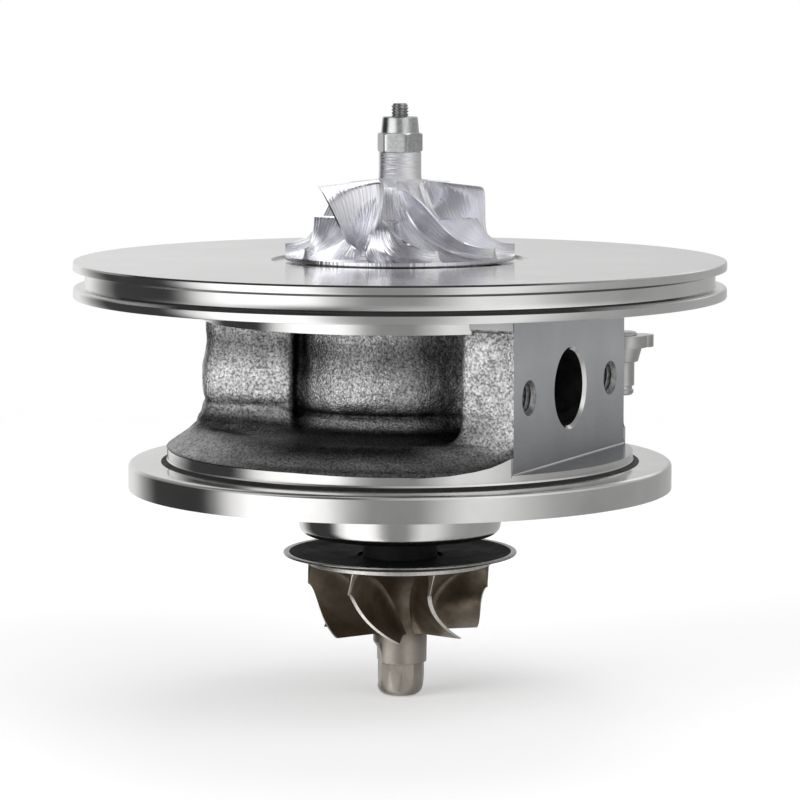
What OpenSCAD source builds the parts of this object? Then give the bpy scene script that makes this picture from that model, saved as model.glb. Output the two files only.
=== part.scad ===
// Turbocharger cartridge: the centre housing and rotating assembly of a variable nozzle turbocharger.
// Origin on the rotor axis at the turbine flange's seat, +Z towards the compressor,
// +X out of the oil drain pad.

/* [Turbine flange and nose] */
// Diameter of the turbine flange, which pilots in the turbine housing
flange_d = 104.5; // [100:0.5:112]
// Thickness of the turbine flange
flange_t = 5; // [4:0.5:7]
// Inner diameter of the flange's seat ring
seat_inner_d = 91; // [90.5:0.5:94]
// Depth of the recess inside the seat ring
seat_recess = 0.8; // [0.4:0.1:1.2]
// Diameter of the turned ring step on top of the flange
step_d = 89.6; // [88:0.2:92]
// Height of the ring step
step_h = 3; // [2.6:0.1:4]
// Diameter of the nose at the flange
nose_d = 41; // [38:0.5:42]
// Diameter of the nose at its end
nose_tip_d = 39; // [36:0.5:39]
// Length of the nose below the flange seat
nose_len = 9.3; // [8:0.1:11]
// Radius of the nose's rounded end
nose_round = 2; // [1:0.1:2.5]
// Small chamfer on turned edges
edge_chamfer = 0.3; // [0.1:0.1:0.5]

/* [Bearing housing] */
// Height from the flange seat to the backplate seat
housing_h = 36.8; // [35:0.2:42]
// Diameter of the turned disc under the backplate
top_disc_d = 76; // [70:1:84]
// Thickness of the turned disc
top_disc_t = 4.2; // [3:0.1:5]
// Diameter round the cast block on the oil inlet side
block_d = 76; // [74:0.5:80]
// Width of the cast block across its flat sides
block_w = 44; // [40:1:46]
// Distance of the cast block's inner end from the axis
block_end = 12.1; // [8:0.5:16]
// Diameter of the cast barrel between block and pad
barrel_d = 46; // [45.5:0.5:48]
// How far the cast walls draw in above their fullest part
cast_bulge = 0.9; // [0.2:0.1:1.2]
// Height of the fullest part of the cast walls
bulge_z = 21.4; // [20:0.2:24]
// Radius of the fillet at the foot of the cast block
valley_r = 5; // [3:0.5:5.5]
// Wall of the barrel round the drain chamber
barrel_wall = 3; // [2.5:0.1:4]
// Wall of the bearing core round the bushes
core_wall = 3.6; // [3:0.1:4]
// Height of the drain chamber's floor above the ring step
chamber_floor = 3.4; // [3:0.1:4]
// Wall between the drain chamber and the thrust bearing's recess
chamber_roof = 2.4; // [2:0.1:3]
// Height of the mould parting line above the flange seat
parting_z = 17; // [16:0.2:18]
// Depth of the parting line
parting_depth = 0.5; // [0.2:0.1:0.8]
// Diameter of the cast flare where it meets the ring step
flare_d = 88.2; // [84:0.2:88.4]
// Diameter of the cast flare at its top
flare_top_d = 77.5; // [76.5:0.5:80]
// Height of the cast flare
flare_h = 4.6; // [3:0.2:5]

/* [Oil drain and inlet] */
// Distance of the drain pad's face from the axis
pad_face = 35.6; // [34:0.2:37]
// Width of the drain pad
pad_w = 53.2; // [48:0.2:54]
// Thickness of the drain pad's slab
pad_t = 13.4; // [13.2:0.2:15]
// Height of the milled ledge above the flange, in front of the drain pad
ledge_h = 2.1; // [1:0.1:3]
// Gap between the drain pad's top and the backplate
pad_top_gap = 1.2; // [0.8:0.1:2]
// Height of the drain bore above the flange seat
drain_z = 20.6; // [19.6:0.2:22]
// Diameter of the drain bore
drain_d = 14.4; // [12:0.2:15]
// Chamfer at the mouth of the drain bore
drain_chamfer = 0.6; // [0.2:0.1:0.8]
// Distance between the two drain pipe screws
drain_bolt_spacing = 39; // [36:0.5:42]
// Tapping diameter of the drain pipe screws
drain_bolt_d = 5; // [4.2:0.1:6]
// Depth of the drain pipe screw holes
drain_bolt_depth = 10; // [8:0.5:11]
// Chamfer at the mouths of the screw holes
drain_bolt_chamfer = 0.8; // [0.3:0.1:1]
// Tapping diameter of the oil inlet
inlet_d = 10.4; // [8.6:0.2:11]
// Depth of the tapped oil inlet
inlet_depth = 12; // [9:0.5:14]
// Diameter of the inlet's spot face
inlet_spot_d = 18; // [16:0.5:20]
// Distance of the inlet's spot face from the axis
inlet_face = 36.4; // [35.5:0.1:36.6]
// Diameter of the oil feed drillings
feed_d = 3; // [2:0.2:4]

/* [Backplate] */
// Diameter of the compressor backplate
plate_d = 125; // [112:0.5:130]
// Thickness of the backplate
plate_t = 6.9; // [6.5:0.1:9]
// Thickness of the rim above the seal groove
upper_rim_t = 1.6; // [1:0.1:2]
// Width of the seal groove in the rim
rim_groove_w = 3.3; // [2.5:0.1:3.8]
// Depth of the seal groove in the rim
rim_groove_depth = 2.2; // [1.5:0.1:3.5]
// Diameter of the shallow recess under the compressor wheel
wheel_recess_d = 49.4; // [48:0.2:54]
// Depth of the recess under the compressor wheel
wheel_recess = 0.4; // [0.2:0.1:0.8]
// Wall between the thrust bearing's recess and the backplate screws
screw_wall = 0.48; // [0.4:0.02:0.8]
// Number of backplate screws
screw_count = 3; // [3:1:5]
// Shank diameter of the backplate screws
screw_d = 3; // [2.5:0.1:3]
// Head diameter of the countersunk backplate screws
screw_head_d = 5.6; // [5:0.2:5.8]
// Polar angle of the first backplate screw
screw_angle = 115; // [60:5:180]
// Length of the backplate screws
screw_len = 14; // [12:0.5:16]
// Section diameter of the O-ring between plate and housing
o_ring_d = 1.4; // [1:0.1:1.4]

/* [Bearings and seals] */
// Diameter of the shaft's bearing journals
journal_d = 7; // [6:0.2:8]
// Outer diameter of the floating bushes
bush_d = 11.8; // [11:0.2:12.4]
// Length of each floating bush
bush_len = 8; // [6:0.2:8.6]
// Thickness of the bushes' snap rings
snap_t = 0.8; // [0.6:0.1:1]
// How far the snap rings sit in the housing wall
snap_bite = 0.6; // [0.4:0.1:0.8]
// Depth of the thrust bearing's recess in the housing
thrust_depth = 6.8; // [6.4:0.1:7.5]
// Diameter of the thrust bearing
thrust_d = 34.4; // [32:0.2:35]
// Thickness of the thrust bearing
thrust_t = 3.6; // [3:0.1:4]
// Thickness of the oil deflector
deflector_t = 1; // [0.6:0.1:1.2]
// Diameter of the rotating thrust faces
thrust_face_d = 16; // [14:0.5:18]
// Thickness of each rotating thrust flange
thrust_flange_t = 1.3; // [1:0.1:1.6]
// Diameter of the thrust collar's neck
thrust_neck_d = 11; // [9:0.2:12]
// Diameter of the thrust bearing's locating pins
thrust_pin_d = 3; // [2:0.5:4]
// Depth of the oil relief between the two bushes
bore_relief = 1.2; // [0.8:0.1:1.5]
// Diameter of the oil flinger sleeve
flinger_d = 12; // [11:0.2:13]
// Diameter of the shaft's seal boss at the turbine end
seal_boss_d = 14.4; // [13:0.2:15]
// Width of a piston ring
ring_w = 1.1; // [0.8:0.1:1.4]
// Radial thickness of a piston ring
ring_t = 1; // [0.8:0.1:1.2]

/* [Rotor shaft and nut] */
// Diameter of the shaft's spigot through the compressor wheel
spigot_d = 5; // [4.4:0.1:5.6]
// Diameter of the threaded end
thread_d = 3.3; // [3:0.1:4]
// Length of thread that stands out of the nut
thread_out = 2.5; // [2:0.1:4]
// Width of the lock nut across its flats
nut_af = 7.8; // [7:0.1:9]
// Height of the nut's hexagon
nut_hex_h = 3.6; // [3:0.1:5]
// Height of the nut's round collar
nut_collar_h = 3.1; // [2:0.1:4]
// Diameter of the nut's collar at the hexagon
nut_collar_d = 7.4; // [6.5:0.1:7.6]
// Turn of the nut on the shaft, in degrees
nut_angle = 14; // [0:1:60]

/* [Compressor wheel] */
// Diameter of the compressor wheel at its outlet
comp_d = 44; // [40:0.5:46]
// Diameter of the compressor wheel's inlet
comp_inlet_d = 32.6; // [30:0.2:34]
// Diameter of the hub nose
comp_hub_d = 8.15; // [7.6:0.05:9]
// Height of the blades from the back face to the inlet edge
comp_blade_h = 14.15; // [12.5:0.05:15.5]
// Rise of the inlet edge from the blade tips to the hub
comp_inlet_rise = 1.1; // [0:0.1:2]
// Height of the wheel's hub
comp_hub_h = 20.55; // [18:0.05:22]
// Height of the blade tips at the outlet
comp_tip_h = 2.2; // [2:0.1:3.5]
// Thickness of the back disc at its edge
comp_disc_t = 0.8; // [0.6:0.1:1.2]
// Number of full blades, with as many splitters between them
comp_blades = 5; // [4:1:7]
// Turn of a full blade from inlet to outlet, in degrees
comp_wrap = 56; // [40:1:60]
// Share of the blade height at which a splitter starts
splitter_start = 0.34; // [0.25:0.01:0.45]
// Thickness of the blades at the hub
comp_root_t = 1.2; // [0.8:0.1:1.6]
// Thickness of the blades at the shroud
comp_tip_t = 0.55; // [0.4:0.05:0.8]
// Gap between the wheel's back and the floor of its recess
wheel_gap = 0.45; // [0.4:0.05:1]
// Polar angle of a full blade's outlet edge
comp_angle = -82.5; // [-180:0.5:180]

/* [Turbine wheel] */
// Diameter of the turbine wheel at its inlet
turb_d = 35.8; // [32:0.2:38]
// Diameter of the turbine wheel at its outlet
turb_outlet_d = 30.4; // [28:0.2:31]
// Diameter of the turbine hub below the blades
turb_hub_d = 10.4; // [9:0.2:11.5]
// Distance from the wheel's back to the blades' lower edge
turb_blade_h = 14.2; // [13:0.2:16]
// Height of the blades at the inlet
turb_inlet_h = 4; // [3:0.1:5]
// Thickness of the back disc at its edge
turb_disc_t = 0.8; // [0.6:0.1:1.2]
// Number of turbine blades
turb_blades = 7; // [6:1:11]
// Turn of a blade from inlet to outlet, in degrees
turb_wrap = 28.5; // [15:0.5:35]
// Lean of a blade's inlet edge from root to tip, in degrees
turb_lean = 3; // [0:0.5:6]
// Thickness of the blades at the hub
turb_root_t = 1.7; // [1.2:0.1:2.2]
// Thickness of the blades at the shroud
turb_tip_t = 0.8; // [0.6:0.1:1.2]
// Length of the hub below the blades
turb_hub_len = 12.5; // [10:0.5:14]
// Length of the faceted end of the hub
turb_drive_len = 6.5; // [5:0.5:7]
// Polar angle of a blade's inlet edge
turb_angle = -94.7; // [-180:0.1:180]
// Height of the weld boss above the wheel's back
weld_h = 2.6; // [2:0.1:2.8]
// Depth of the flat ground on the hub's end for balance
balance_depth = 1; // [0.4:0.1:1.4]
// Polar angle of the balance flat
balance_angle = -145; // [-180:5:180]

/* [Heat shield] */
// Diameter of the heat shield
shield_d = 45.1; // [43:0.1:47]
// Sheet thickness of the heat shield
shield_t = 0.5; // [0.4:0.1:0.8]
// Depth of the heat shield's dish
shield_h = 1.3; // [1:0.1:2]
// Diameter of the heat shield's flat floor
shield_floor_d = 38.4; // [37.6:0.2:39]
// Diameter of the hole round the shaft
shield_hole_d = 16.6; // [16:0.2:20]
// Free height between the nose and the heat shield's floor
shield_travel = 4.2; // [3:0.1:5]

/* [Nozzle lever] */
// Distance of the lever's pivot from the rotor axis
pivot_r = 39.9; // [39:0.1:40.2]
// Polar angle of the lever's pivot
pivot_angle = 83.5; // [80:0.5:90]
// Length of the outside lever
lever_len = 24; // [22:0.5:25]
// Direction of the outside lever, as a polar angle
lever_angle = 10.3; // [5:0.1:20]
// Thickness of the lever arm
lever_t = 2.4; // [2:0.1:3]
// Radius of the eye round the actuator pin
lever_eye_r = 5; // [4.4:0.1:6]
// Height of the lever arm's underside above the flange seat
lever_z = 24.1; // [23:0.1:26]
// Diameter of the lever shaft
lever_shaft_d = 5.5; // [4.5:0.1:6]
// Outer diameter of the lever shaft's bushes
lever_bush_d = 8; // [7.4:0.1:8.4]
// Length of each lever shaft bush
lever_bush_len = 8; // [6:0.5:9]
// Radius of the cast boss round the bushes
lever_boss_r = 6.4; // [6:0.1:6.8]
// Diameter of the actuator pin
lever_pin_d = 5; // [4:0.1:5.4]
// Length of the actuator pin's bearing part
lever_pin_len = 4.8; // [4:0.1:6]
// Height of the pin's tapered shoulder
pin_shoulder_h = 2.9; // [2:0.1:3.5]
// Width of the pin's clip groove
pin_groove_w = 0.8; // [0.6:0.1:1.2]
// Height of the pin's tip below the clip groove
pin_tip_h = 1.1; // [0.8:0.1:1.5]
// Length of the crank on the turbine side
crank_len = 8.6; // [7:0.2:9]
// Thickness of the crank
crank_t = 2.6; // [2:0.1:3]
// Diameter of the crank's finger
finger_d = 4.4; // [3.5:0.1:5]
// Height of the crank's finger
finger_h = 4; // [3:0.2:5]

/* [Fits] */
// Radial clearance of a running shaft or bush
running = 0.05; // [0.02:0.01:0.08]
// Clearance of pieces that are fitted and stay put
seated = 0.02; // [0.01:0.01:0.03]
// Clearance between turning and standing pieces that never touch
free = 0.3; // [0.25:0.01:0.4]

/* [Hidden] */
$fn = 96;
bite = 0.5;
over = 1;

// Heights along the rotor axis
step_top = flange_t + step_h;
flare_top = step_top + flare_h;
body_top = housing_h - top_disc_t;
plate_top = housing_h + plate_t;
plate_floor = plate_top - wheel_recess;
thrust_floor = housing_h - thrust_depth;
thrust_top = thrust_floor + thrust_t;
deflector_top = thrust_top + deflector_t;
axial = free / 3;
collar_bottom = thrust_floor - axial - thrust_flange_t;
collar_recess = collar_bottom - axial;
collar_top = thrust_top + axial;
comp_back = plate_floor + wheel_gap;
comp_nose = comp_back + comp_hub_h;
nut_top = comp_nose + nut_hex_h + nut_collar_h;
shaft_tip = nut_top + thread_out;
shield_top = -nose_len - shield_travel;
shield_floor = shield_top - shield_t;
turb_back = shield_floor - axial;
seal_boss_top = -1.1;
seal_bore_top = seal_boss_top + free;
weld_z = turb_back + weld_h;

// Bearing lands, counted from the thrust end and from the seal end
land = 0.7;
snap_gap = 0.15;
comp_snap_hi = collar_recess - land - snap_t;
comp_bush_z = comp_snap_hi - snap_gap - bush_len;
comp_snap_lo = comp_bush_z - snap_gap - snap_t;
turb_snap_lo = seal_bore_top + land;
turb_bush_z = turb_snap_lo + snap_t + snap_gap;
turb_snap_hi = turb_bush_z + bush_len + snap_gap;
bush_bore_r = bush_d / 2 + running;
core_r = bush_bore_r + core_wall;
cavity_r = barrel_d / 2 - barrel_wall;
cavity_bottom = step_top + chamber_floor;
cavity_top = thrust_floor - chamber_roof;

// Radii that mating pieces share
seal_bore_r = seal_boss_d / 2 + free;
plate_seal_r = flinger_d / 2 + free;
spigot_bore_r = spigot_d / 2 + seated;
thrust_bore_r = thrust_d / 2 + seated;
screw_r = thrust_bore_r + screw_wall + screw_d / 2;
lever_bore_r = lever_bush_d / 2 + seated;
pivot = [pivot_r * cos(pivot_angle), pivot_r * sin(pivot_angle)];
lever_boss_top = lever_z - free;
screw_head_h = (screw_head_d - screw_d) / 2;
plate_spigot_h = housing_h - deflector_top;
o_ring_r = thrust_bore_r - o_ring_d / 2 - seated;
o_ring_z = housing_h - plate_spigot_h / 2;
thrust_pin_r = thrust_d / 2 - 1.2 * thrust_pin_d;

// A disc of revolution with a small chamfer on its upper rim
module turned_disc(r, h, c) {
    rotate_extrude()
        polygon([[0, 0], [r, 0], [r, h - c], [r - c, h], [0, h]]);
}

// A tube from height z0 to z1
module tube(r_in, r_out, z0, z1) {
    translate([0, 0, z0])
        difference() {
            cylinder(r = r_out, h = z1 - z0);
            translate([0, 0, -over]) cylinder(r = r_in, h = z1 - z0 + 2 * over);
        }
}

// A plate with a round eye at each end, from the origin along X
module eye_bar(len, r1, r2, w1, w2, t) {
    linear_extrude(t)
        union() {
            circle(r = r1);
            translate([len, 0]) circle(r = r2);
            polygon([[0, -w1], [len, -w2], [len, w2], [0, w1]]);
        }
}

// Slope of the cast flare, and its height at a radius
flare_slope = atan2(flare_h - bite - edge_chamfer, (flare_d - flare_top_d) / 2);
function flare_z(r) = step_top + edge_chamfer + (flare_d / 2 - r) * tan(flare_slope);

// The revolved form of the cast walls: a bulge with the parting line pressed into it, drawn in above,
// and a fillet at the foot that turns the wall outwards
module cast_form(r, foot_z, foot_r, foot_turn) {
    steps = 4;
    waist_z = (bulge_z + body_top) / 2;
    foot = foot_z + foot_r * tan(foot_turn / 2);
    function arc(a) = [r + foot_r * (1 - cos(a)), foot - foot_r * sin(a)];
    rotate_extrude()
        polygon(concat(
            [[0, step_top], [arc(foot_turn)[0], step_top]],
            [for (i = [steps : -1 : 0]) arc(foot_turn * i / steps)],
            [
                [r, parting_z - parting_depth], [r - parting_depth, parting_z],
                [r, parting_z + 2 * parting_depth], [r, bulge_z]
            ],
            [
                for (i = [1 : steps])
                    [r - cast_bulge * (1 - cos(180 * i / steps)) / 2,
                        bulge_z + (waist_z - bulge_z) * i / steps]
            ],
            [[r - cast_bulge, housing_h - bite], [0, housing_h - bite]]));
}

module housing_cast() {
    block_r = block_d / 2;
    block_reach = block_r + valley_r;
    // Flare between the ring step and the body
    rotate_extrude()
        polygon([
            [0, step_top - bite], [flare_d / 2, step_top - bite], [flare_d / 2, step_top + edge_chamfer],
            [flare_top_d / 2, flare_top - bite], [flare_top_d / 2 - 2, flare_top], [0, flare_top]
        ]);
    // Block on the oil inlet side, with flat sides
    intersection() {
        cast_form(block_r, flare_z(block_r), valley_r, 90 - flare_slope);
        translate([-block_reach, -block_w / 2, 0]) cube([block_reach - block_end, block_w, housing_h]);
    }
    cast_form(barrel_d / 2, flare_top, valley_r / 2, 90);
    // Boss of the lever shaft, with a web to the barrel
    translate([pivot[0], pivot[1], flange_t - bite])
        cylinder(r = lever_boss_r, h = lever_boss_top - flange_t + bite);
    translate([pivot[0] - lever_boss_r * 0.7, 0, step_top])
        cube([lever_boss_r * 1.4, pivot[1], parting_z - step_top]);
}

module housing_turned() {
    turned_disc(flange_d / 2, flange_t, edge_chamfer);
    translate([0, 0, flange_t - bite]) turned_disc(step_d / 2, step_h + bite, edge_chamfer);
    translate([0, 0, body_top]) turned_disc(top_disc_d / 2, top_disc_t, edge_chamfer);
    // Nose into the turbine housing
    round_steps = 5;
    rotate_extrude()
        polygon(concat(
            [[0, bite], [nose_d / 2, bite], [nose_d / 2, 0]],
            [
                for (i = [0 : round_steps]) let (a = 90 * i / round_steps)
                    [nose_tip_d / 2 - nose_round * (1 - cos(a)), nose_round * (1 - sin(a)) - nose_len]
            ],
            [[0, -nose_len]]));
}

// Milled slab that carries the oil drain pipe
module drain_pad() {
    translate([pad_face - pad_t, -pad_w / 2, step_top - bite])
        cube([pad_t, pad_w, housing_h - pad_top_gap - step_top + bite]);
}

// Clear way that the milling cutter leaves in front of the pad, down to a ledge in the ring step
module pad_clearance() {
    translate([pad_face, -flange_d, flange_t + ledge_h]) cube([flange_d, 2 * flange_d, housing_h]);
}

// A drilled hole along +X whose mouth is at x, with a chamfer
module port_x(x, depth, d, chamfer) {
    translate([x - depth, 0, 0]) rotate([0, 90, 0]) cylinder(d = d, h = depth + over);
    translate([x - chamfer, 0, 0]) rotate([0, 90, 0])
        cylinder(r1 = d / 2, r2 = d / 2 + chamfer + over, h = chamfer + over);
}

module housing_bores() {
    // Turbine seal, bearing bore with its snap ring grooves, and the relief between the bushes
    translate([0, 0, -nose_len - over]) cylinder(r = seal_bore_r, h = nose_len + over + seal_bore_top);
    translate([0, 0, -nose_len]) cylinder(r = bush_bore_r, h = nose_len + housing_h);
    for (z = [turb_snap_lo, turb_snap_hi, comp_snap_lo, comp_snap_hi])
        translate([0, 0, z - seated]) cylinder(r = bush_bore_r + snap_bite, h = snap_t + 2 * seated);
    translate([0, 0, turb_snap_hi + 2 * snap_t])
        cylinder(r = bush_bore_r + bore_relief, h = comp_snap_lo - turb_snap_hi - 3 * snap_t);
    // Thrust bearing recess, with the pocket of the inner thrust flange and the pin holes
    translate([0, 0, thrust_floor]) cylinder(r = thrust_bore_r, h = thrust_depth + over);
    translate([0, 0, collar_recess]) cylinder(r = thrust_face_d / 2 + free, h = thrust_depth);
    for (a = [90, 270])
        rotate(a) translate([thrust_pin_r, 0, thrust_floor - thrust_pin_d])
            cylinder(d = thrust_pin_d + 2 * seated, h = thrust_depth);
    // Tapped holes of the backplate screws
    for (i = [0 : screw_count - 1])
        rotate(screw_angle + i * 360 / screw_count)
            translate([screw_r, 0, plate_floor - screw_len - over])
                cylinder(d = screw_d + 2 * seated, h = screw_len + over);
    // Drain chamber round the bearing core, open towards the drain
    intersection() {
        tube(core_r, cavity_r, cavity_bottom, cavity_top);
        translate([-cavity_r / 4, -cavity_r, 0]) cube([2 * cavity_r, 2 * cavity_r, housing_h]);
    }
    // Windows that let the oil out of the bearings and down from the thrust bearing
    translate([0, -bush_bore_r, turb_snap_hi + 2 * snap_t])
        cube([core_r + over, 2 * bush_bore_r, comp_snap_lo - turb_snap_hi - 3 * snap_t]);
    translate([core_r, -core_r / 2, cavity_top - over])
        cube([thrust_bore_r - core_r - over, core_r, thrust_floor - cavity_top + 2 * over]);
}

module housing_ports() {
    translate([0, 0, drain_z]) port_x(pad_face, pad_face - core_r - 2, drain_d, drain_chamfer);
    for (s = [-1, 1])
        translate([0, s * drain_bolt_spacing / 2, drain_z])
            port_x(pad_face, drain_bolt_depth, drain_bolt_d, drain_bolt_chamfer);
    // Oil inlet on the far side, with the feed to both bearings
    translate([0, 0, drain_z]) mirror([1, 0, 0]) {
        port_x(inlet_face, inlet_depth, inlet_d, edge_chamfer);
        translate([inlet_face, 0, 0]) rotate([0, 90, 0]) cylinder(d = inlet_spot_d, h = block_d);
        translate([core_r, 0, 0]) rotate([0, 90, 0]) cylinder(d = feed_d, h = inlet_face - core_r);
    }
    for (z = [turb_bush_z + bush_len / 2, comp_bush_z + bush_len / 2]) {
        slope = atan2(core_r, drain_z - z);
        translate([-core_r, 0, drain_z]) rotate([0, 180 - slope, 0])
            cylinder(d = feed_d, h = core_r / sin(slope));
    }
}

module bearing_housing() {
    color("dimgray")
        difference() {
            union() {
                housing_cast();
                drain_pad();
                housing_turned();
            }
            pad_clearance();
            housing_bores();
            housing_ports();
            // Recess inside the flange's seat ring
            tube(nose_d / 2 + 2, seat_inner_d / 2, -over, seat_recess);
            // Bore for the lever shaft's bushes
            translate([pivot[0], pivot[1], -over]) cylinder(r = lever_bore_r, h = housing_h);
        }
}

module compressor_backplate() {
    r = plate_d / 2;
    lower_rim = plate_t - upper_rim_t - rim_groove_w;
    c = edge_chamfer;
    spigot_r = thrust_d / 2;
    color("silver")
        difference() {
            rotate_extrude()
                polygon([
                    [0, deflector_top], [spigot_r, deflector_top], [spigot_r, housing_h], [r - c, housing_h],
                    [r, housing_h + c], [r, housing_h + lower_rim - c], [r - c, housing_h + lower_rim],
                    [r - rim_groove_depth, housing_h + lower_rim],
                    [r - rim_groove_depth, plate_top - upper_rim_t], [r - c, plate_top - upper_rim_t],
                    [r, plate_top - upper_rim_t + c], [r, plate_top - c], [r - c, plate_top],
                    [wheel_recess_d / 2, plate_top], [wheel_recess_d / 2, plate_floor], [0, plate_floor]
                ]);
            // Seal bore, and the pocket of the flinger's flange
            translate([0, 0, deflector_top - over])
                cylinder(r = plate_seal_r, h = plate_t + 3 * over + plate_spigot_h);
            translate([0, 0, deflector_top - over])
                cylinder(r = thrust_face_d / 2 + free, h = over + thrust_flange_t + 3 * axial - deflector_t);
            // O-ring groove in the spigot
            tube(o_ring_r - o_ring_d / 2, spigot_r + over, o_ring_z - o_ring_d / 2, o_ring_z + o_ring_d / 2);
            // Countersunk screw holes
            for (i = [0 : screw_count - 1])
                rotate(screw_angle + i * 360 / screw_count) translate([screw_r, 0, 0]) {
                    translate([0, 0, housing_h - over])
                        cylinder(d = screw_d + 2 * seated, h = plate_t + over);
                    translate([0, 0, plate_floor - screw_head_h - seated])
                        cylinder(d1 = screw_d + 2 * seated, d2 = screw_head_d + 4 * seated,
                            h = screw_head_h + seated);
                }
        }
}

module backplate_o_ring() {
    color("black")
        translate([0, 0, o_ring_z])
            rotate_extrude() translate([o_ring_r, 0]) circle(d = o_ring_d - 2 * seated, $fn = 32);
}

module backplate_screws() {
    color("gray")
        for (i = [0 : screw_count - 1])
            rotate(screw_angle + i * 360 / screw_count) translate([screw_r, 0, plate_floor - seated])
                difference() {
                    union() {
                        translate([0, 0, -screw_len + over])
                            cylinder(d = screw_d, h = screw_len - over - bite);
                        translate([0, 0, -screw_head_h])
                            cylinder(d1 = screw_d, d2 = screw_head_d, h = screw_head_h);
                    }
                    // Hexagon socket
                    translate([0, 0, -screw_head_h])
                        cylinder(d = screw_d * 0.6, h = screw_head_h + over, $fn = 6);
                }
}

module thrust_bearing() {
    color("goldenrod")
        difference() {
            translate([0, 0, thrust_floor + seated]) cylinder(d = thrust_d, h = thrust_t - 2 * seated);
            translate([0, 0, thrust_floor - over])
                cylinder(d = thrust_neck_d + 2 * free, h = thrust_t + 2 * over);
            for (a = [90, 270])
                rotate(a) translate([thrust_pin_r, 0, thrust_floor - over])
                    cylinder(d = thrust_pin_d + 2 * seated, h = thrust_t + 2 * over);
            // Drain cut-out in the edge, towards the oil drain
            translate([thrust_d / 2, 0, thrust_floor - over])
                cylinder(r = thrust_d / 2 - core_r - 2, h = thrust_t + 2 * over);
        }
}

module thrust_bearing_pins() {
    color("gray")
        for (a = [90, 270])
            rotate(a) translate([thrust_pin_r, 0, thrust_floor - thrust_pin_d + seated])
                cylinder(d = thrust_pin_d, h = thrust_pin_d + thrust_t - 2 * seated);
}

module oil_deflector() {
    color("gainsboro")
        tube(thrust_face_d / 2 + free, thrust_d / 2, thrust_top + seated, deflector_top - seated);
}

// Height of the compressor piston ring
comp_ring_z = housing_h + plate_t / 2;

module compressor_piston_ring() {
    color("gray")
        tube(plate_seal_r - ring_t - seated, plate_seal_r - seated, comp_ring_z, comp_ring_z + ring_w);
}

// Heights of the two piston rings in the shaft's seal boss
turb_ring_z = [for (i = [1, 2]) -nose_len + i * (nose_len + seal_boss_top) / 3 - ring_w / 2];

module turbine_piston_rings() {
    color("gray")
        for (z = turb_ring_z)
            tube(seal_bore_r - ring_t - seated, seal_bore_r - seated, z, z + ring_w);
}

module bearing_snap_rings() {
    color("dimgray")
        for (z = [turb_snap_lo, turb_snap_hi, comp_snap_lo, comp_snap_hi])
            tube(bush_bore_r - snap_t, bush_bore_r + snap_bite - seated, z, z + snap_t);
}

// A floating bush with its ring of oil holes
module floating_bush(z) {
    color("darkgoldenrod")
        difference() {
            tube(journal_d / 2 + running, bush_d / 2, z, z + bush_len);
            for (a = [0 : 60 : 300])
                rotate(a) translate([0, 0, z + bush_len / 2])
                    rotate([0, 90, 0]) cylinder(d = feed_d / 2, h = bush_d);
        }
}

module compressor_journal_bearing() floating_bush(comp_bush_z);

module turbine_journal_bearing() floating_bush(turb_bush_z);

module rotor_shaft() {
    boss_r = seal_boss_d / 2;
    thread_r = thread_d / 2;
    color("lightsteelblue")
        difference() {
            rotate_extrude()
                polygon([
                    [0, weld_z], [boss_r, weld_z], [boss_r, seal_boss_top], [journal_d / 2, seal_boss_top],
                    [journal_d / 2, collar_bottom], [spigot_d / 2, collar_bottom], [spigot_d / 2, comp_nose],
                    [thread_r, comp_nose], [thread_r, shaft_tip - edge_chamfer],
                    [thread_r - edge_chamfer, shaft_tip], [0, shaft_tip]
                ]);
            for (z = turb_ring_z)
                tube(seal_bore_r - ring_t - free, boss_r + over, z - axial, z + ring_w + axial);
        }
}

module thrust_collar() {
    color("silver")
        difference() {
            union() {
                translate([0, 0, collar_bottom]) cylinder(d = thrust_face_d, h = thrust_flange_t);
                translate([0, 0, collar_bottom]) cylinder(d = thrust_neck_d, h = collar_top - collar_bottom);
            }
            translate([0, 0, collar_bottom - over]) cylinder(r = spigot_bore_r, h = thrust_depth + 2 * over);
        }
}

module oil_flinger() {
    color("silver")
        difference() {
            union() {
                translate([0, 0, collar_top]) cylinder(d = thrust_face_d, h = thrust_flange_t);
                translate([0, 0, collar_top]) cylinder(d = flinger_d, h = comp_back - collar_top);
            }
            translate([0, 0, collar_top - over])
                cylinder(r = spigot_bore_r, h = comp_back - collar_top + 2 * over);
            tube(plate_seal_r - ring_t - free, flinger_d, comp_ring_z - axial, comp_ring_z + ring_w + axial);
        }
}

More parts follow.
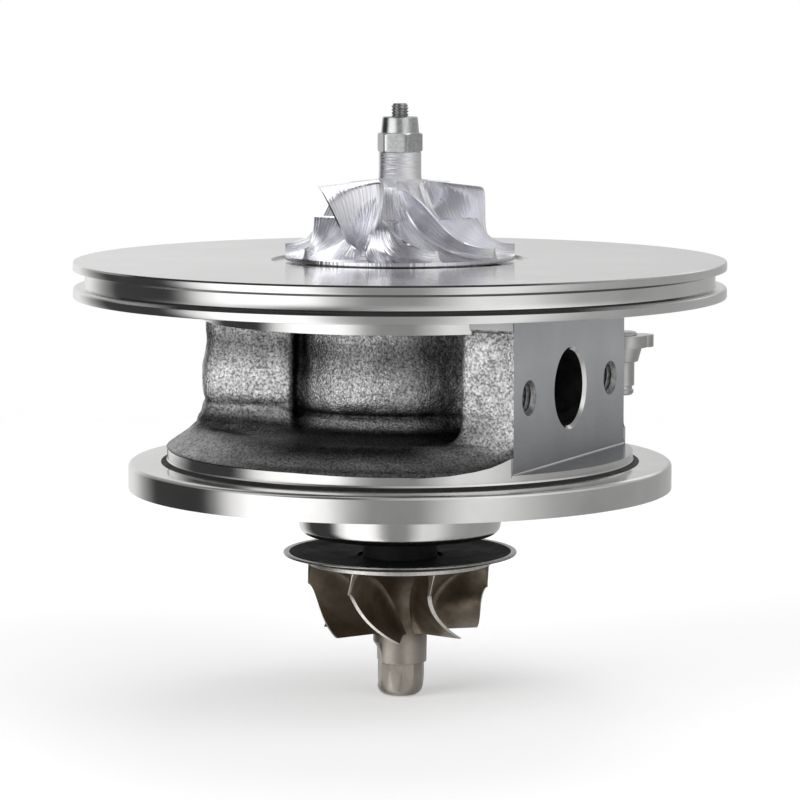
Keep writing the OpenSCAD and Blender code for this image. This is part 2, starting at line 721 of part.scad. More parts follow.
// A blade lofted over its mean surface: mean(m, s) gives radius, angle, height and thickness,
// with m from the inlet edge to the outlet edge and s from the root to the tip
module blade(mean, nm, ns) {
    row = ns + 1;
    side = (nm + 1) * row;
    function at(k, i, j) = k * side + i * row + j;
    function quad(a, b, c, d) = [[a, b, c], [a, c, d]];
    points = [
        for (k = [-1, 1]) for (i = [0 : nm]) for (j = [0 : ns])
            let (q = mean(i / nm, j / ns), a = q[1] + k * (q[3] / 2) / q[0] * 180 / PI)
                [q[0] * cos(a), q[0] * sin(a), q[2]]
    ];
    sheets = [
        for (i = [0 : nm - 1]) for (j = [0 : ns - 1]) each concat(
            quad(at(0, i, j), at(0, i, j + 1), at(0, i + 1, j + 1), at(0, i + 1, j)),
            quad(at(1, i, j), at(1, i + 1, j), at(1, i + 1, j + 1), at(1, i, j + 1)))
    ];
    ends = [
        for (j = [0 : ns - 1]) each concat(
            quad(at(0, 0, j), at(1, 0, j), at(1, 0, j + 1), at(0, 0, j + 1)),
            quad(at(0, nm, j), at(0, nm, j + 1), at(1, nm, j + 1), at(1, nm, j)))
    ];
    edges = [
        for (i = [0 : nm - 1]) each concat(
            quad(at(0, i, 0), at(0, i + 1, 0), at(1, i + 1, 0), at(1, i, 0)),
            quad(at(0, i, ns), at(1, i, ns), at(1, i + 1, ns), at(0, i + 1, ns)))
    ];
    polyhedron(points, concat(sheets, ends, edges), convexity = 6);
}

// Compressor wheel: hub and shroud curves from the inlet (m = 0) to the outlet (m = 1)
comp_r = comp_d / 2;
comp_inlet_z = comp_back + comp_blade_h;
comp_disc_top = comp_back + comp_disc_t;
comp_tip_z = comp_disc_top + comp_tip_h;
comp_hub_top = comp_inlet_z + comp_inlet_rise;
function comp_hub(m) = [
    comp_hub_d / 2 + (comp_r - comp_hub_d / 2) * (1 - cos(90 * m)),
    comp_hub_top - (comp_hub_top - comp_disc_top) * sin(90 * m)
];
function comp_shroud(m) = [
    comp_inlet_d / 2 + (comp_r - comp_inlet_d / 2) * pow(1 - cos(90 * m), 1.8),
    comp_inlet_z - (comp_inlet_z - comp_tip_z) * sin(90 * m)
];
// A blade takes most of its turn early, where it screws into the air
comp_early = 0.85;
function comp_sweep(m) =
    comp_angle - comp_wrap * (1 - comp_early * pow(m, 0.55) - (1 - comp_early) * pow(m, 3));
// The root lies inside the hub, along the direction from shroud to hub
comp_root = -0.14;
function comp_blade_mean(m, s) =
    let (u = comp_root + s * (1 - comp_root), h = comp_hub(m), t = comp_shroud(m), p = h + u * (t - h))
        [min(p[0], comp_r - seated), comp_sweep(m), p[1], comp_root_t + s * (comp_tip_t - comp_root_t)];

module compressor_wheel() {
    hub_steps = 10;
    nose_r = comp_hub_d / 2;
    full = function (m, s) comp_blade_mean(m, s);
    splitter = function (m, s) comp_blade_mean(splitter_start + m * (1 - splitter_start), s);
    color("whitesmoke")
        difference() {
            union() {
                rotate_extrude()
                    polygon(concat(
                        [[0, comp_back], [comp_r, comp_back], [comp_r, comp_disc_top]],
                        [for (i = [hub_steps - 1 : -1 : 1]) comp_hub(i / hub_steps)],
                        [[nose_r, comp_hub_top + bite], [nose_r, comp_nose], [0, comp_nose]]));
                for (i = [0 : comp_blades - 1]) {
                    rotate(i * 360 / comp_blades) blade(full, 12, 4);
                    rotate((i + 0.5) * 360 / comp_blades) blade(splitter, 8, 4);
                }
            }
            translate([0, 0, comp_back - over]) cylinder(r = spigot_bore_r, h = comp_hub_h + 2 * over);
        }
}

module lock_nut() {
    collar_r = nut_collar_d / 2;
    color("lightgray")
        translate([0, 0, comp_nose])
            difference() {
                union() {
                    intersection() {
                        rotate(nut_angle) cylinder(d = nut_af / cos(30), h = nut_hex_h, $fn = 6);
                        turned_disc(nut_af / cos(30) / 2 - 0.05, nut_hex_h, edge_chamfer);
                    }
                    cylinder(r1 = collar_r, r2 = collar_r - 0.35, h = nut_hex_h + nut_collar_h);
                }
                translate([0, 0, -over])
                    cylinder(d = thread_d + 2 * seated, h = nut_hex_h + nut_collar_h + 2 * over);
            }
}

// Turbine wheel: hub and shroud curves from the inlet (m = 0) to the outlet (m = 1)
turb_r = turb_d / 2;
turb_disc_z = turb_back - turb_disc_t;
turb_out_z = turb_back - turb_blade_h;
turb_end = turb_out_z - turb_hub_len;
function turb_hub(m) = [
    turb_hub_d / 2 + (turb_r - turb_hub_d / 2) * (1 - sin(90 * m)),
    turb_disc_z - (turb_disc_z - turb_out_z) * (1 - cos(90 * m))
];
function turb_shroud(m) = [
    turb_outlet_d / 2 + (turb_r - turb_outlet_d / 2) * pow(1 - sin(90 * m), 0.7),
    turb_disc_z - turb_inlet_h - (turb_disc_z - turb_inlet_h - turb_out_z) * (1 - cos(90 * m))
];
turb_root = -0.12;
// A blade keeps straight at the inlet and takes its turn late, where the gas leaves
function turb_sweep(m, u) = turb_angle + turb_wrap * pow(m, 3.8) - turb_lean * max(u, 0) * (1 - m);
function turb_blade_mean(m, s) =
    let (u = turb_root + s * (1 - turb_root), h = turb_hub(m), t = turb_shroud(m), p = h + u * (t - h))
        [min(p[0], turb_r - seated), turb_sweep(m, u), p[1], turb_root_t + s * (turb_tip_t - turb_root_t)];

module turbine_wheel() {
    hub_steps = 10;
    hub_r = turb_hub_d / 2;
    weld_r = seal_boss_d / 2;
    drive_r = hub_r - 0.4;
    drive_top = turb_end + turb_drive_len;
    full = function (m, s) turb_blade_mean(m, s);
    color("rosybrown")
        difference() {
            union() {
                rotate_extrude()
                    polygon(concat(
                        [[0, weld_z], [weld_r, weld_z], [weld_r, turb_back], [turb_r, turb_back]],
                        [for (i = [0 : hub_steps - 1]) turb_hub(i / hub_steps)],
                        [[hub_r, turb_out_z - bite], [drive_r + 0.2, drive_top], [0, drive_top]]));
                // Faceted end that holds the rotor while the nut is tightened
                intersection() {
                    for (a = [0, 30])
                        rotate(a) translate([0, 0, turb_end])
                            cylinder(r = hub_r, h = turb_drive_len + bite, $fn = 6);
                    rotate_extrude()
                        polygon([
                            [0, turb_end], [drive_r - 1.2, turb_end], [drive_r - 0.4, turb_end + 1],
                            [drive_r, drive_top + bite], [0, drive_top + bite]
                        ]);
                }
                for (i = [0 : turb_blades - 1]) rotate(i * 360 / turb_blades) blade(full, 12, 4);
            }
            // Flat ground away for balance
            rotate(balance_angle) translate([hub_r - balance_depth, -hub_r, turb_end + 2])
                cube([hub_r, 2 * hub_r, turb_drive_len + 1]);
        }
}

module heat_shield() {
    rim_r = shield_d / 2;
    floor_r = shield_floor_d / 2;
    lip = 0.6;
    color("darkgray")
        translate([0, 0, shield_floor])
            rotate_extrude()
                polygon([
                    [shield_hole_d / 2, 0], [floor_r, 0], [rim_r - lip, shield_h - shield_t],
                    [rim_r, shield_h - shield_t], [rim_r, shield_h], [rim_r - lip - shield_t / 2, shield_h],
                    [floor_r - shield_t / 2, shield_t],
                    [shield_hole_d / 2, shield_t]
                ]);
}

// Places a piece of the lever at its pivot, along the lever
module on_lever() {
    translate([pivot[0], pivot[1], 0]) rotate(lever_angle) children();
}

module lever_arm() {
    tail_r = lever_eye_r * 0.8;
    tail_tip_r = lever_eye_r * 0.5;
    color("lightgray")
        on_lever() translate([0, 0, lever_z])
            difference() {
                union() {
                    eye_bar(lever_len, lever_shaft_d, lever_eye_r, lever_shaft_d * 0.85, tail_r, lever_t);
                    // Short tail beyond the pin
                    translate([lever_len, 0, 0]) rotate(30)
                        eye_bar(tail_r, tail_r, tail_tip_r, tail_r, tail_tip_r, lever_t);
                }
                translate([0, 0, -over]) cylinder(d = lever_shaft_d + 2 * seated, h = lever_t + 2 * over);
                translate([lever_len, 0, -over])
                    cylinder(d = lever_pin_d + 2 * seated, h = lever_t + 2 * over);
            }
}

module lever_shaft() {
    color("silver")
        translate([pivot[0], pivot[1], -axial - crank_t])
            cylinder(d = lever_shaft_d, h = lever_z + lever_t + axial + crank_t + edge_chamfer);
}

module lever_pin() {
    r = lever_pin_d / 2;
    shoulder = lever_z - pin_shoulder_h;
    groove = shoulder - lever_pin_len - pin_groove_w;
    tip = groove - pin_tip_h;
    color("silver")
        on_lever() translate([lever_len, 0, 0])
            rotate_extrude()
                polygon([
                    [0, tip], [r - 0.6, tip], [r - 0.2, tip + 0.4], [r - 0.1, groove], [r - 0.4, groove],
                    [r - 0.4, groove + pin_groove_w], [r, groove + pin_groove_w],
                    [r, shoulder], [r + 0.7, shoulder], [r + 1.5, lever_z - seated], [r, lever_z - seated],
                    [r, lever_z + lever_t + seated], [r + 0.6, lever_z + lever_t + seated],
                    [r + 0.2, lever_z + lever_t + 0.7], [0, lever_z + lever_t + 0.7]
                ]);
}

// A bush of the lever shaft, with its lower end at z
module shaft_bush(z) {
    color("peru")
        translate([pivot[0], pivot[1], 0])
            tube(lever_shaft_d / 2 + running, lever_bush_d / 2, z, z + lever_bush_len);
}

module lever_bush_lower() shaft_bush(seat_recess);

module lever_bush_upper() shaft_bush(lever_boss_top - lever_bush_len);

// Direction of the crank on the turbine side: towards the rotor axis
module on_crank() {
    translate([pivot[0], pivot[1], -axial - crank_t]) rotate(pivot_angle + 180) children();
}

module inner_crank() {
    eye_r = seat_inner_d / 2 - pivot_r - free;
    color("lightgray")
        on_crank()
            difference() {
                eye_bar(crank_len, eye_r, finger_d * 0.8, eye_r * 0.8, finger_d * 0.7, crank_t);
                translate([0, 0, -over]) cylinder(d = lever_shaft_d + 2 * seated, h = crank_t + 2 * over);
                translate([crank_len, 0, -over])
                    cylinder(d = finger_d * 0.6 + 2 * seated, h = crank_t + 2 * over);
            }
}

module crank_finger() {
    color("silver")
        on_crank() translate([crank_len, 0, 0]) {
            translate([0, 0, -finger_h]) cylinder(d = finger_d, h = finger_h - seated);
            translate([0, 0, -bite]) cylinder(d = finger_d * 0.6, h = crank_t + bite);
        }
}

bearing_housing();
compressor_backplate();
backplate_o_ring();
backplate_screws();
thrust_bearing();
thrust_bearing_pins();
oil_deflector();
compressor_piston_ring();
turbine_piston_rings();
bearing_snap_rings();
lever_bush_upper();
lever_bush_lower();
compressor_journal_bearing();
turbine_journal_bearing();
rotor_shaft();
turbine_wheel();
compressor_wheel();
lock_nut();
thrust_collar();
oil_flinger();
heat_shield();
lever_arm();
lever_shaft();
lever_pin();
inner_crank();
crank_finger();
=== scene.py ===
# Turbocharger cartridge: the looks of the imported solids, from the bearing housing outwards.
import math

import bmesh
import bpy
import numpy as np
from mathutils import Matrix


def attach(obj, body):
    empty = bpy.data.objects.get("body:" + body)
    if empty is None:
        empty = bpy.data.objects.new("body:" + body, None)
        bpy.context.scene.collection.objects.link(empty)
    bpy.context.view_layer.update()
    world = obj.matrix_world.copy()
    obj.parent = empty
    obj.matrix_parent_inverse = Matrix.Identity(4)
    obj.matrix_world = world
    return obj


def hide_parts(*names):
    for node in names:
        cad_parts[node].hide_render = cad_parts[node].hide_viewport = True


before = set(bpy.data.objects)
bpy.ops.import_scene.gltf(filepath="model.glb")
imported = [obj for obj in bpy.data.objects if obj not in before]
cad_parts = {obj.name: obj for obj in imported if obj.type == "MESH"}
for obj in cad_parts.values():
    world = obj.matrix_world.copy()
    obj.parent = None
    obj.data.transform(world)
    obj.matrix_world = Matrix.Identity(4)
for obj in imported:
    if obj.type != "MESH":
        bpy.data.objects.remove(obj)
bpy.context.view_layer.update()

import openvdb
from mathutils import Vector

# Bearing housing, the casting
# Grey iron poured in a sand mould: the block round the oil inlet, the barrel round the bearings, the slab of
# the drain pipe, the boss of the lever shaft and the flare run together in fillets. The skin is left rough,
# with painted shade in its hollows and painted light and shade in bands. Sizes of shapes are in millimetres.
sand_grain = 0.36
front_turn = 65.0
block_radius, block_half_width, block_inner_end = 38.0, 22.0, -12.1
barrel_radius, barrel_drop = 23.0, 1.3
slab_inner, slab_half_width, slab_top, milled_plane = 24.6, 26.6, 35.6, 35.6
neck_half_width, neck_inner, neck_outer, neck_top = 15.0, 14.0, 27.0, 33.0
ledge_height, cast_floor, flange_top, flange_reach = 7.1, 6.6, 5.0, 52.0
ring_step_top, turned_reach, flare_top, top_disc_underside = 8.0, 44.98, 12.6, 32.6
plate_seat, plate_reach = 36.8, 62.0
foot_angles, foot_heights = [-180, -35, -10, 15, 22, 27, 180], [7.9, 7.9, 7.45, 7.35, 7.6, 7.9, 7.9]
drain_height, spot_face_plane, spot_face_radius = 20.6, -36.4, 9.0
pivot_x, pivot_y, boss_radius, boss_top = 4.5167, 39.6435, 6.4, 23.8
wall_heights = [4.0, 13.5, 14.6, 16.2, 17.0, 17.9, 19.5, 21.4, 24.0, 26.5, 28.5, 31.0, 36.0]
wall_offsets = [0.0, 0.0, -0.05, -0.2, -0.7, -0.3, -0.05, 0.0, -0.2, -0.7, -0.9, -0.8, -0.8]


def run_together(a, b, width):
    """Joins two cast forms, given as distances from their skins, with a fillet of that width."""
    share = np.clip(0.5 + 0.5 * (b - a) / width, 0, 1)
    return b + (a - b) * share - width * share * (1 - share)


def cut_back(a, b, width):
    """Keeps what lies in both forms, with the edge between them rounded over that width."""
    return -run_together(-a, -b, width)


def turn_from_front(x, y):
    """Degrees round the rotor axis from the side of the picture, to the right; numbers or arrays."""
    return (np.degrees(np.arctan2(y, x)) + front_turn + 180) % 360 - 180


def sand_lumps(axes, spacing, seed):
    """Uneven sand: random heights on a coarse lattice, drawn out evenly between its points."""
    counts = [int((axis[-1] - axis[0]) / spacing) + 3 for axis in axes]
    field = np.random.default_rng(seed).standard_normal(counts)
    for axis, count in zip(axes, counts):
        at = (axis - axis[0]) / spacing
        low = np.clip(at.astype(int), 0, count - 2)
        part = (at - low) ** 2 * (3 - 2 * (at - low))
        shape = (-1, 1, 1)
        field = field[low] * (1 - part).reshape(shape) + field[low + 1] * part.reshape(shape)
        field = np.moveaxis(field, 0, 2)
    return field


mould_ends = [(-46.0, 39.5), (-46.0, 47.5), (4.2, 36.6)]
mould_axes = [np.arange(start, end, sand_grain) for start, end in mould_ends]
at_x, at_y, at_z = np.meshgrid(*mould_axes, indexing="ij", sparse=True)
at_r = np.hypot(at_x, at_y)
wall = np.interp(at_z, wall_heights, wall_offsets)
off_cut = np.clip((milled_plane - at_x) / 2.0, 0, 1)
off_boss = np.clip((boss_top - at_z) / 1.5, 0, 1)
block = cut_back(at_r - (block_radius + wall), np.abs(at_y) - (block_half_width + 0.6 * wall), 1.6)
block = cut_back(block, at_x - block_inner_end, 1.2)
barrel_wall = np.interp(at_z + barrel_drop, wall_heights, wall_offsets)
body = run_together(block, at_r - (barrel_radius + barrel_wall), 1.6)
body = np.maximum(body, at_z - top_disc_underside - 0.4)
turned_top = np.clip((at_z - 32.9) / 0.5, 0, 1)
slab_reach = slab_half_width + 0.5 * wall * off_cut * (1 - turned_top) + 0.3 * turned_top
slab = cut_back(np.abs(at_y) - slab_reach, slab_inner - at_x, 1.5)
slab = cut_back(slab, at_z - slab_top, 0.5)
neck = np.maximum(np.maximum(np.abs(at_y) - neck_half_width, neck_inner - at_x), at_z - neck_top)
slab = run_together(slab, np.maximum(neck, at_x - neck_outer), 2.0)
body = run_together(body, slab, 3.0)
flare_radius = np.interp(at_z, [8.0, 8.3, 12.0, 12.6], [turned_reach, 44.5, 39.0, 37.6])
valley_floor = flare_top - 1.0 * np.exp(-(((at_r - 33.0) / 4.5) ** 2))
flare = cut_back((at_r - flare_radius) * 0.75, at_z - valley_floor, 1.2)
body = np.maximum(run_together(body, flare, 4.0), cast_floor - at_z)
foot_turn = front_turn - np.degrees(np.arctan2(np.abs(at_y), at_x))
foot_top = np.interp(foot_turn, [12.0, 18.0, 22.0, 25.0, 28.5], [7.6, 8.1, 8.7, 9.4, 10.4])
slab_foot = np.maximum(np.maximum(at_z - foot_top, cast_floor - at_z), 40.0 - at_r)
body = np.maximum(run_together(body, slab_foot, 0.8), np.where(at_z < 11.5, at_r - turned_reach, -9.0))
boss_reach = np.hypot(at_x - pivot_x, at_y - pivot_y)
boss = np.maximum(np.maximum(boss_reach - boss_radius, at_z - boss_top - 0.8), 4.6 - at_z)
web = cut_back(np.abs(at_x - pivot_x) - 4.5, at_z - 17.0, 1.5)
web = np.maximum(np.maximum(web, at_y - pivot_y), np.maximum(-at_y, cast_floor - at_z))
body = run_together(body, run_together(boss, web, 2.0), 2.0)
inlet_reach = np.hypot(at_y, at_z - drain_height)
body = np.maximum(body, -np.maximum(inlet_reach - spot_face_radius - 0.1, at_x - spot_face_plane - 0.1))
body = np.maximum(body, -np.maximum(inlet_reach - 5.6, at_x + 20.0))
lumps = 0.045 * sand_lumps(mould_axes, 0.9, 11) + 0.07 * sand_lumps(mould_axes, 2.4, 12)
off_turned = np.clip((44.6 - at_r) / 0.8, 0, 1) * np.clip((33.2 - at_z) / 0.6, 0, 1)
body = body + lumps * off_cut * off_turned * np.where(boss_reach < 8.0, off_boss, 1.0)
poured = openvdb.FloatGrid(3.0)
poured.copyFromArray(np.ascontiguousarray(body, dtype=np.float32))
skin_points, skin_quads = poured.convertToQuads(0.0)
skin_points = skin_points * sand_grain + np.array([axis[0] for axis in mould_axes])
casting_mesh = bpy.data.meshes.new("housing_casting")
casting_mesh.from_pydata((skin_points * 0.001).tolist(), [], skin_quads.tolist())
skin = bmesh.new()
skin.from_mesh(casting_mesh)
near_cut = [f for f in skin.faces if f.calc_center_median().x > 0.0345]
near_cut += [v for v in skin.verts if v.co.x > 0.0343] + [e for e in skin.edges if e.verts[0].co.x > 0.0343]
bmesh.ops.bisect_plane(skin, geom=near_cut, plane_co=(milled_plane * 0.001, 0, 0), plane_no=(1, 0, 0))
near_boss = []
for face in skin.faces:
    c = face.calc_center_median() * 1000
    if c.z > boss_top - 1.0 and math.hypot(c.x - pivot_x, c.y - pivot_y) < 7.2:
        near_boss.append(face)
near_boss += list({v for f in near_boss for v in f.verts}) + list({e for f in near_boss for e in f.edges})
bmesh.ops.bisect_plane(skin, geom=near_boss, plane_co=(0, 0, boss_top * 0.001), plane_no=(0, 0, 1))
machined_away = []
for face in skin.faces:
    c = face.calc_center_median() * 1000
    reach = math.hypot(c.x, c.y)
    from_pivot = math.hypot(c.x - pivot_x, c.y - pivot_y)
    before_pad = c.x > milled_plane - 1e-4
    under_disc = c.z > top_disc_underside + 0.15 and reach < 37.6
    foot = np.interp(turn_from_front(c.x, c.y), foot_angles, foot_heights)
    in_flange = c.z < foot and (from_pivot > 9.0 or reach < 44.6 or c.z < 4.95)
    over_boss = c.z > boss_top - 1e-4 and from_pivot < 7.0
    if before_pad or under_disc or in_flange or over_boss:
        machined_away.append(face)
bmesh.ops.delete(skin, geom=machined_away, context="FACES")
for vert in skin.verts:
    reach = math.hypot(vert.co.x, vert.co.y)
    if vert.is_boundary and vert.co.z < 0.0088 and reach > 0.0442:
        vert.co.z = 0.001 * np.interp(turn_from_front(vert.co.x, vert.co.y), foot_angles, foot_heights)
if sum((f.calc_center_median().x * f.normal.x) * f.calc_area() for f in skin.faces) < 0:
    bmesh.ops.reverse_faces(skin, faces=skin.faces)
skin.to_mesh(casting_mesh)
skin.free()
casting_mesh.shade_smooth()
# Painted shade: how open the room is round each point of the skin, probed along its normal past the casting,
# the backplate and the flange, darkens the colour in hollows, corners and under the disc.
open_air = np.minimum(body, np.where(at_r < plate_reach, plate_seat - at_z, 50.0))
open_air = np.minimum(open_air, np.where(at_r < flange_reach, at_z - flange_top, 50.0))
skin_at = np.array([v.co for v in casting_mesh.vertices]) * 1000
skin_out = np.array([v.normal for v in casting_mesh.vertices])
shelter = np.zeros(len(skin_at))
for step, weight in [(0.9, 0.12), (1.8, 0.18), (3.6, 0.25), (6.5, 0.25), (10.0, 0.2)]:
    probe = skin_at + skin_out * step
    cells, strayed = [], np.zeros(len(probe), bool)
    for axis, at in zip(mould_axes, probe.T):
        cell = np.round((at - axis[0]) / sand_grain).astype(int)
        cells.append(np.clip(cell, 0, len(axis) - 1))
        strayed |= (at < axis[0]) | (at > axis[-1])
    clear = np.where(strayed, step, open_air[tuple(cells)])
    shelter += weight * np.clip(clear / step, 0.0, 1.0)
# Painted light and shade by height and turn: the valley over the flare black, the flare strip and the bulges
# of block and barrel bright, the parting groove and the block's upper band dark, the left of the flare
# lighter, the slab's walls darker towards their foot and the barrel's flanks darker as they turn away.
from_front = turn_from_front(skin_at[:, 0], skin_at[:, 1])
painted_shade_by_height = [(7.0, 0.1), (8.3, 0.14), (8.9, 0.36), (9.6, 0.36), (10.4, 0.16), (11.2, 0.04), (13.2, 0.04),
        (14.2, 0.3), (15.2, 0.75), (16.4, 0.7), (17.0, 0.22), (17.6, 0.6), (19.0, 1.0), (23.5, 1.0),
        (25.5, 0.7), (28.0, 0.38), (30.0, 0.42), (31.5, 0.7), (33.0, 0.8)]
painted_slab_shade = [(8.3, 0.14), (9.5, 0.3), (10.5, 0.45), (11.5, 0.7), (12.5, 0.9), (13.5, 1.0), (30.0, 1.0),
              (34.0, 0.8)]
skin_reach = np.hypot(skin_at[:, 0], skin_at[:, 1])
skin_height = skin_at[:, 2]
on_barrel = np.interp(skin_reach, [24.0, 26.5], [1.0, 0.0]) * np.interp(skin_height, [12.5, 14.0], [0.0, 1.0])
painted_shade_level = np.interp(skin_height + barrel_drop * on_barrel, *zip(*painted_shade_by_height))
painted_light_left_flare = np.interp(from_front, [-160, -110, -62, -26], [0.0, 1.0, 1.0, 0.0])
painted_light_left_flare = painted_light_left_flare * np.interp(skin_height, [11.0, 14.0], [1.0, 0.0])
painted_shade_level = np.maximum(painted_shade_level, 0.75 * painted_light_left_flare)
on_slab = np.interp(np.abs(skin_at[:, 1]), [22.0, 26.0], [0.0, 1.0])
on_slab = on_slab * np.interp(skin_at[:, 0], [18.0, 27.0], [0.0, 1.0])
painted_shade_level = painted_shade_level + (np.interp(skin_height, *zip(*painted_slab_shade)) - painted_shade_level) * on_slab
flank_turns = [-60, -54, -44, -32, 2, 12, 22, 32]
painted_flank_shade = np.interp(from_front, flank_turns, [0.12, 0.28, 0.75, 1.0, 1.0, 0.7, 0.3, 0.1])
painted_shade_level = painted_shade_level * (1 - on_barrel * (1 - painted_flank_shade) * np.interp(np.abs(from_front), [70, 90], [1.0, 0.0]))
painted_shade_level = painted_shade_level * np.interp(shelter, [0.45, 0.62, 0.76, 0.9], [0.05, 0.3, 0.65, 1.0])
casting_mesh.attributes.new("painted_shade_map", "FLOAT", "POINT").data.foreach_set("value", painted_shade_level.astype(np.float32))


def new_finish(name, metallic=0.0, roughness=0.5, specular=0.5):
    """A fresh procedural finish: the material, its node tree, its shader and its Object coordinates."""
    finish = bpy.data.materials.new(name)
    finish.use_nodes = True
    tree = finish.node_tree
    shader = tree.nodes["Principled BSDF"]
    shader.inputs["Metallic"].default_value = metallic
    shader.inputs["Roughness"].default_value = roughness
    shader.inputs["Specular IOR Level"].default_value = specular
    return finish, tree, shader, tree.nodes.new("ShaderNodeTexCoord").outputs["Object"]


def grain(tree, place, size, detail=2.0, stretch=(1.0, 1.0, 1.0)):
    """Noise whose patches are about that many metres across, drawn out by the stretch."""
    turn = tree.nodes.new("ShaderNodeMapping")
    turn.inputs["Scale"].default_value = stretch
    noise = tree.nodes.new("ShaderNodeTexNoise")
    noise.inputs["Scale"].default_value = 1.0 / size
    noise.inputs["Detail"].default_value = detail
    tree.links.new(place, turn.inputs["Vector"])
    tree.links.new(turn.outputs["Vector"], noise.inputs["Vector"])
    return noise.outputs["Fac"]


def shades(tree, factor, stops):
    """A colour ramp over the factor; each stop is a place and a colour, or a place and a grey level."""
    ramp = tree.nodes.new("ShaderNodeValToRGB")
    while len(ramp.color_ramp.elements) < len(stops):
        ramp.color_ramp.elements.new(0.5)
    for element, (at, shade) in zip(ramp.color_ramp.elements, stops):
        element.position = at
        element.color = (*shade, 1.0) if isinstance(shade, tuple) else (shade, shade, shade, 1.0)
    tree.links.new(factor, ramp.inputs["Fac"])
    return ramp.outputs["Color"]


def tone(tree, shader, socket, factor, stops):
    """Feeds a socket of the shader with shades over the factor."""
    tree.links.new(shades(tree, factor, stops), shader.inputs[socket])


def mixed(tree, factor, a, b, kind="MIX"):
    """Two colours blended by a factor, which is a socket or a number."""
    mix = tree.nodes.new("ShaderNodeMix")
    mix.data_type = "RGBA"
    mix.blend_type = kind
    if isinstance(factor, float):
        mix.inputs["Factor"].default_value = factor
    else:
        tree.links.new(factor, mix.inputs["Factor"])
    tree.links.new(a, mix.inputs[6])
    tree.links.new(b, mix.inputs[7])
    return mix.outputs[2]


def relief(tree, shader, *layers):
    """Bump layers on the shader, each a height socket, a depth in metres and a strength."""
    last = None
    for height, depth, strength in layers:
        bump = tree.nodes.new("ShaderNodeBump")
        bump.inputs["Distance"].default_value = depth
        bump.inputs["Strength"].default_value = strength
        tree.links.new(height, bump.inputs["Height"])
        if last is not None:
            tree.links.new(last, bump.inputs["Normal"])
        last = bump.outputs["Normal"]
    tree.links.new(last, shader.inputs["Normal"])


sand_cast_iron, tree, shader, place = new_finish("sand_cast_iron", metallic=0.75, specular=0.3)
sparkle = grain(tree, place, 0.00048, 2.5)
blotch = grain(tree, place, 0.004, 3.0)
pebbles = tree.nodes.new("ShaderNodeTexVoronoi")
pebbles.inputs["Scale"].default_value = 2300.0
tree.links.new(place, pebbles.inputs["Vector"])
painted_shade_map = tree.nodes.new("ShaderNodeAttribute")
painted_shade_map.attribute_name = "painted_shade_map"
iron = shades(tree, sparkle, [(0.34, 0.36), (0.5, 0.74), (0.66, 1.0)])
iron = mixed(tree, 1.0, iron, shades(tree, blotch, [(0.35, 0.76), (0.65, 1.0)]), "MULTIPLY")
# Painted shade: the attribute multiplies the iron's colour down to near black where the skin lies in shade.
painted_shade_tone = shades(tree, painted_shade_map.outputs["Fac"], [(0.0, 0.01), (1.0, 1.0)])
tree.links.new(mixed(tree, 1.0, iron, painted_shade_tone, "MULTIPLY"), shader.inputs["Base Color"])
tone(tree, shader, "Roughness", sparkle, [(0.35, 0.52), (0.65, 0.34)])
relief(tree, shader, (sparkle, 0.0002, 0.55), (pebbles.outputs["Distance"], -0.0002, 0.5))


def placed(name, mesh, *finishes):
    """A piece of the scene from its mesh, with finishes in the order of the numbers on its faces."""
    piece = bpy.data.objects.new(name, mesh)
    bpy.context.scene.collection.objects.link(piece)
    for finish in finishes:
        mesh.materials.append(finish)
    return piece


casting = placed("housing_casting", casting_mesh, sand_cast_iron)
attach(casting, "housing")
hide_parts("bearing_housing")

# Bearing housing, the machined faces
# The same casting where the tools have been: the flange with its nose and ring step and the disc under the
# backplate are turned, the drain pad is milled flat, and the bores and oil ways are drilled and reamed.
as_milled, as_bored, as_shaded_ledge = 1, 2, 3
bolt_reach = 19.5


def creased(mesh, angle):
    """Smooth faces with sharp edges past that angle, in degrees."""
    mesh.shade_smooth()
    mesh.set_sharp_from_angle(angle=math.radians(angle))


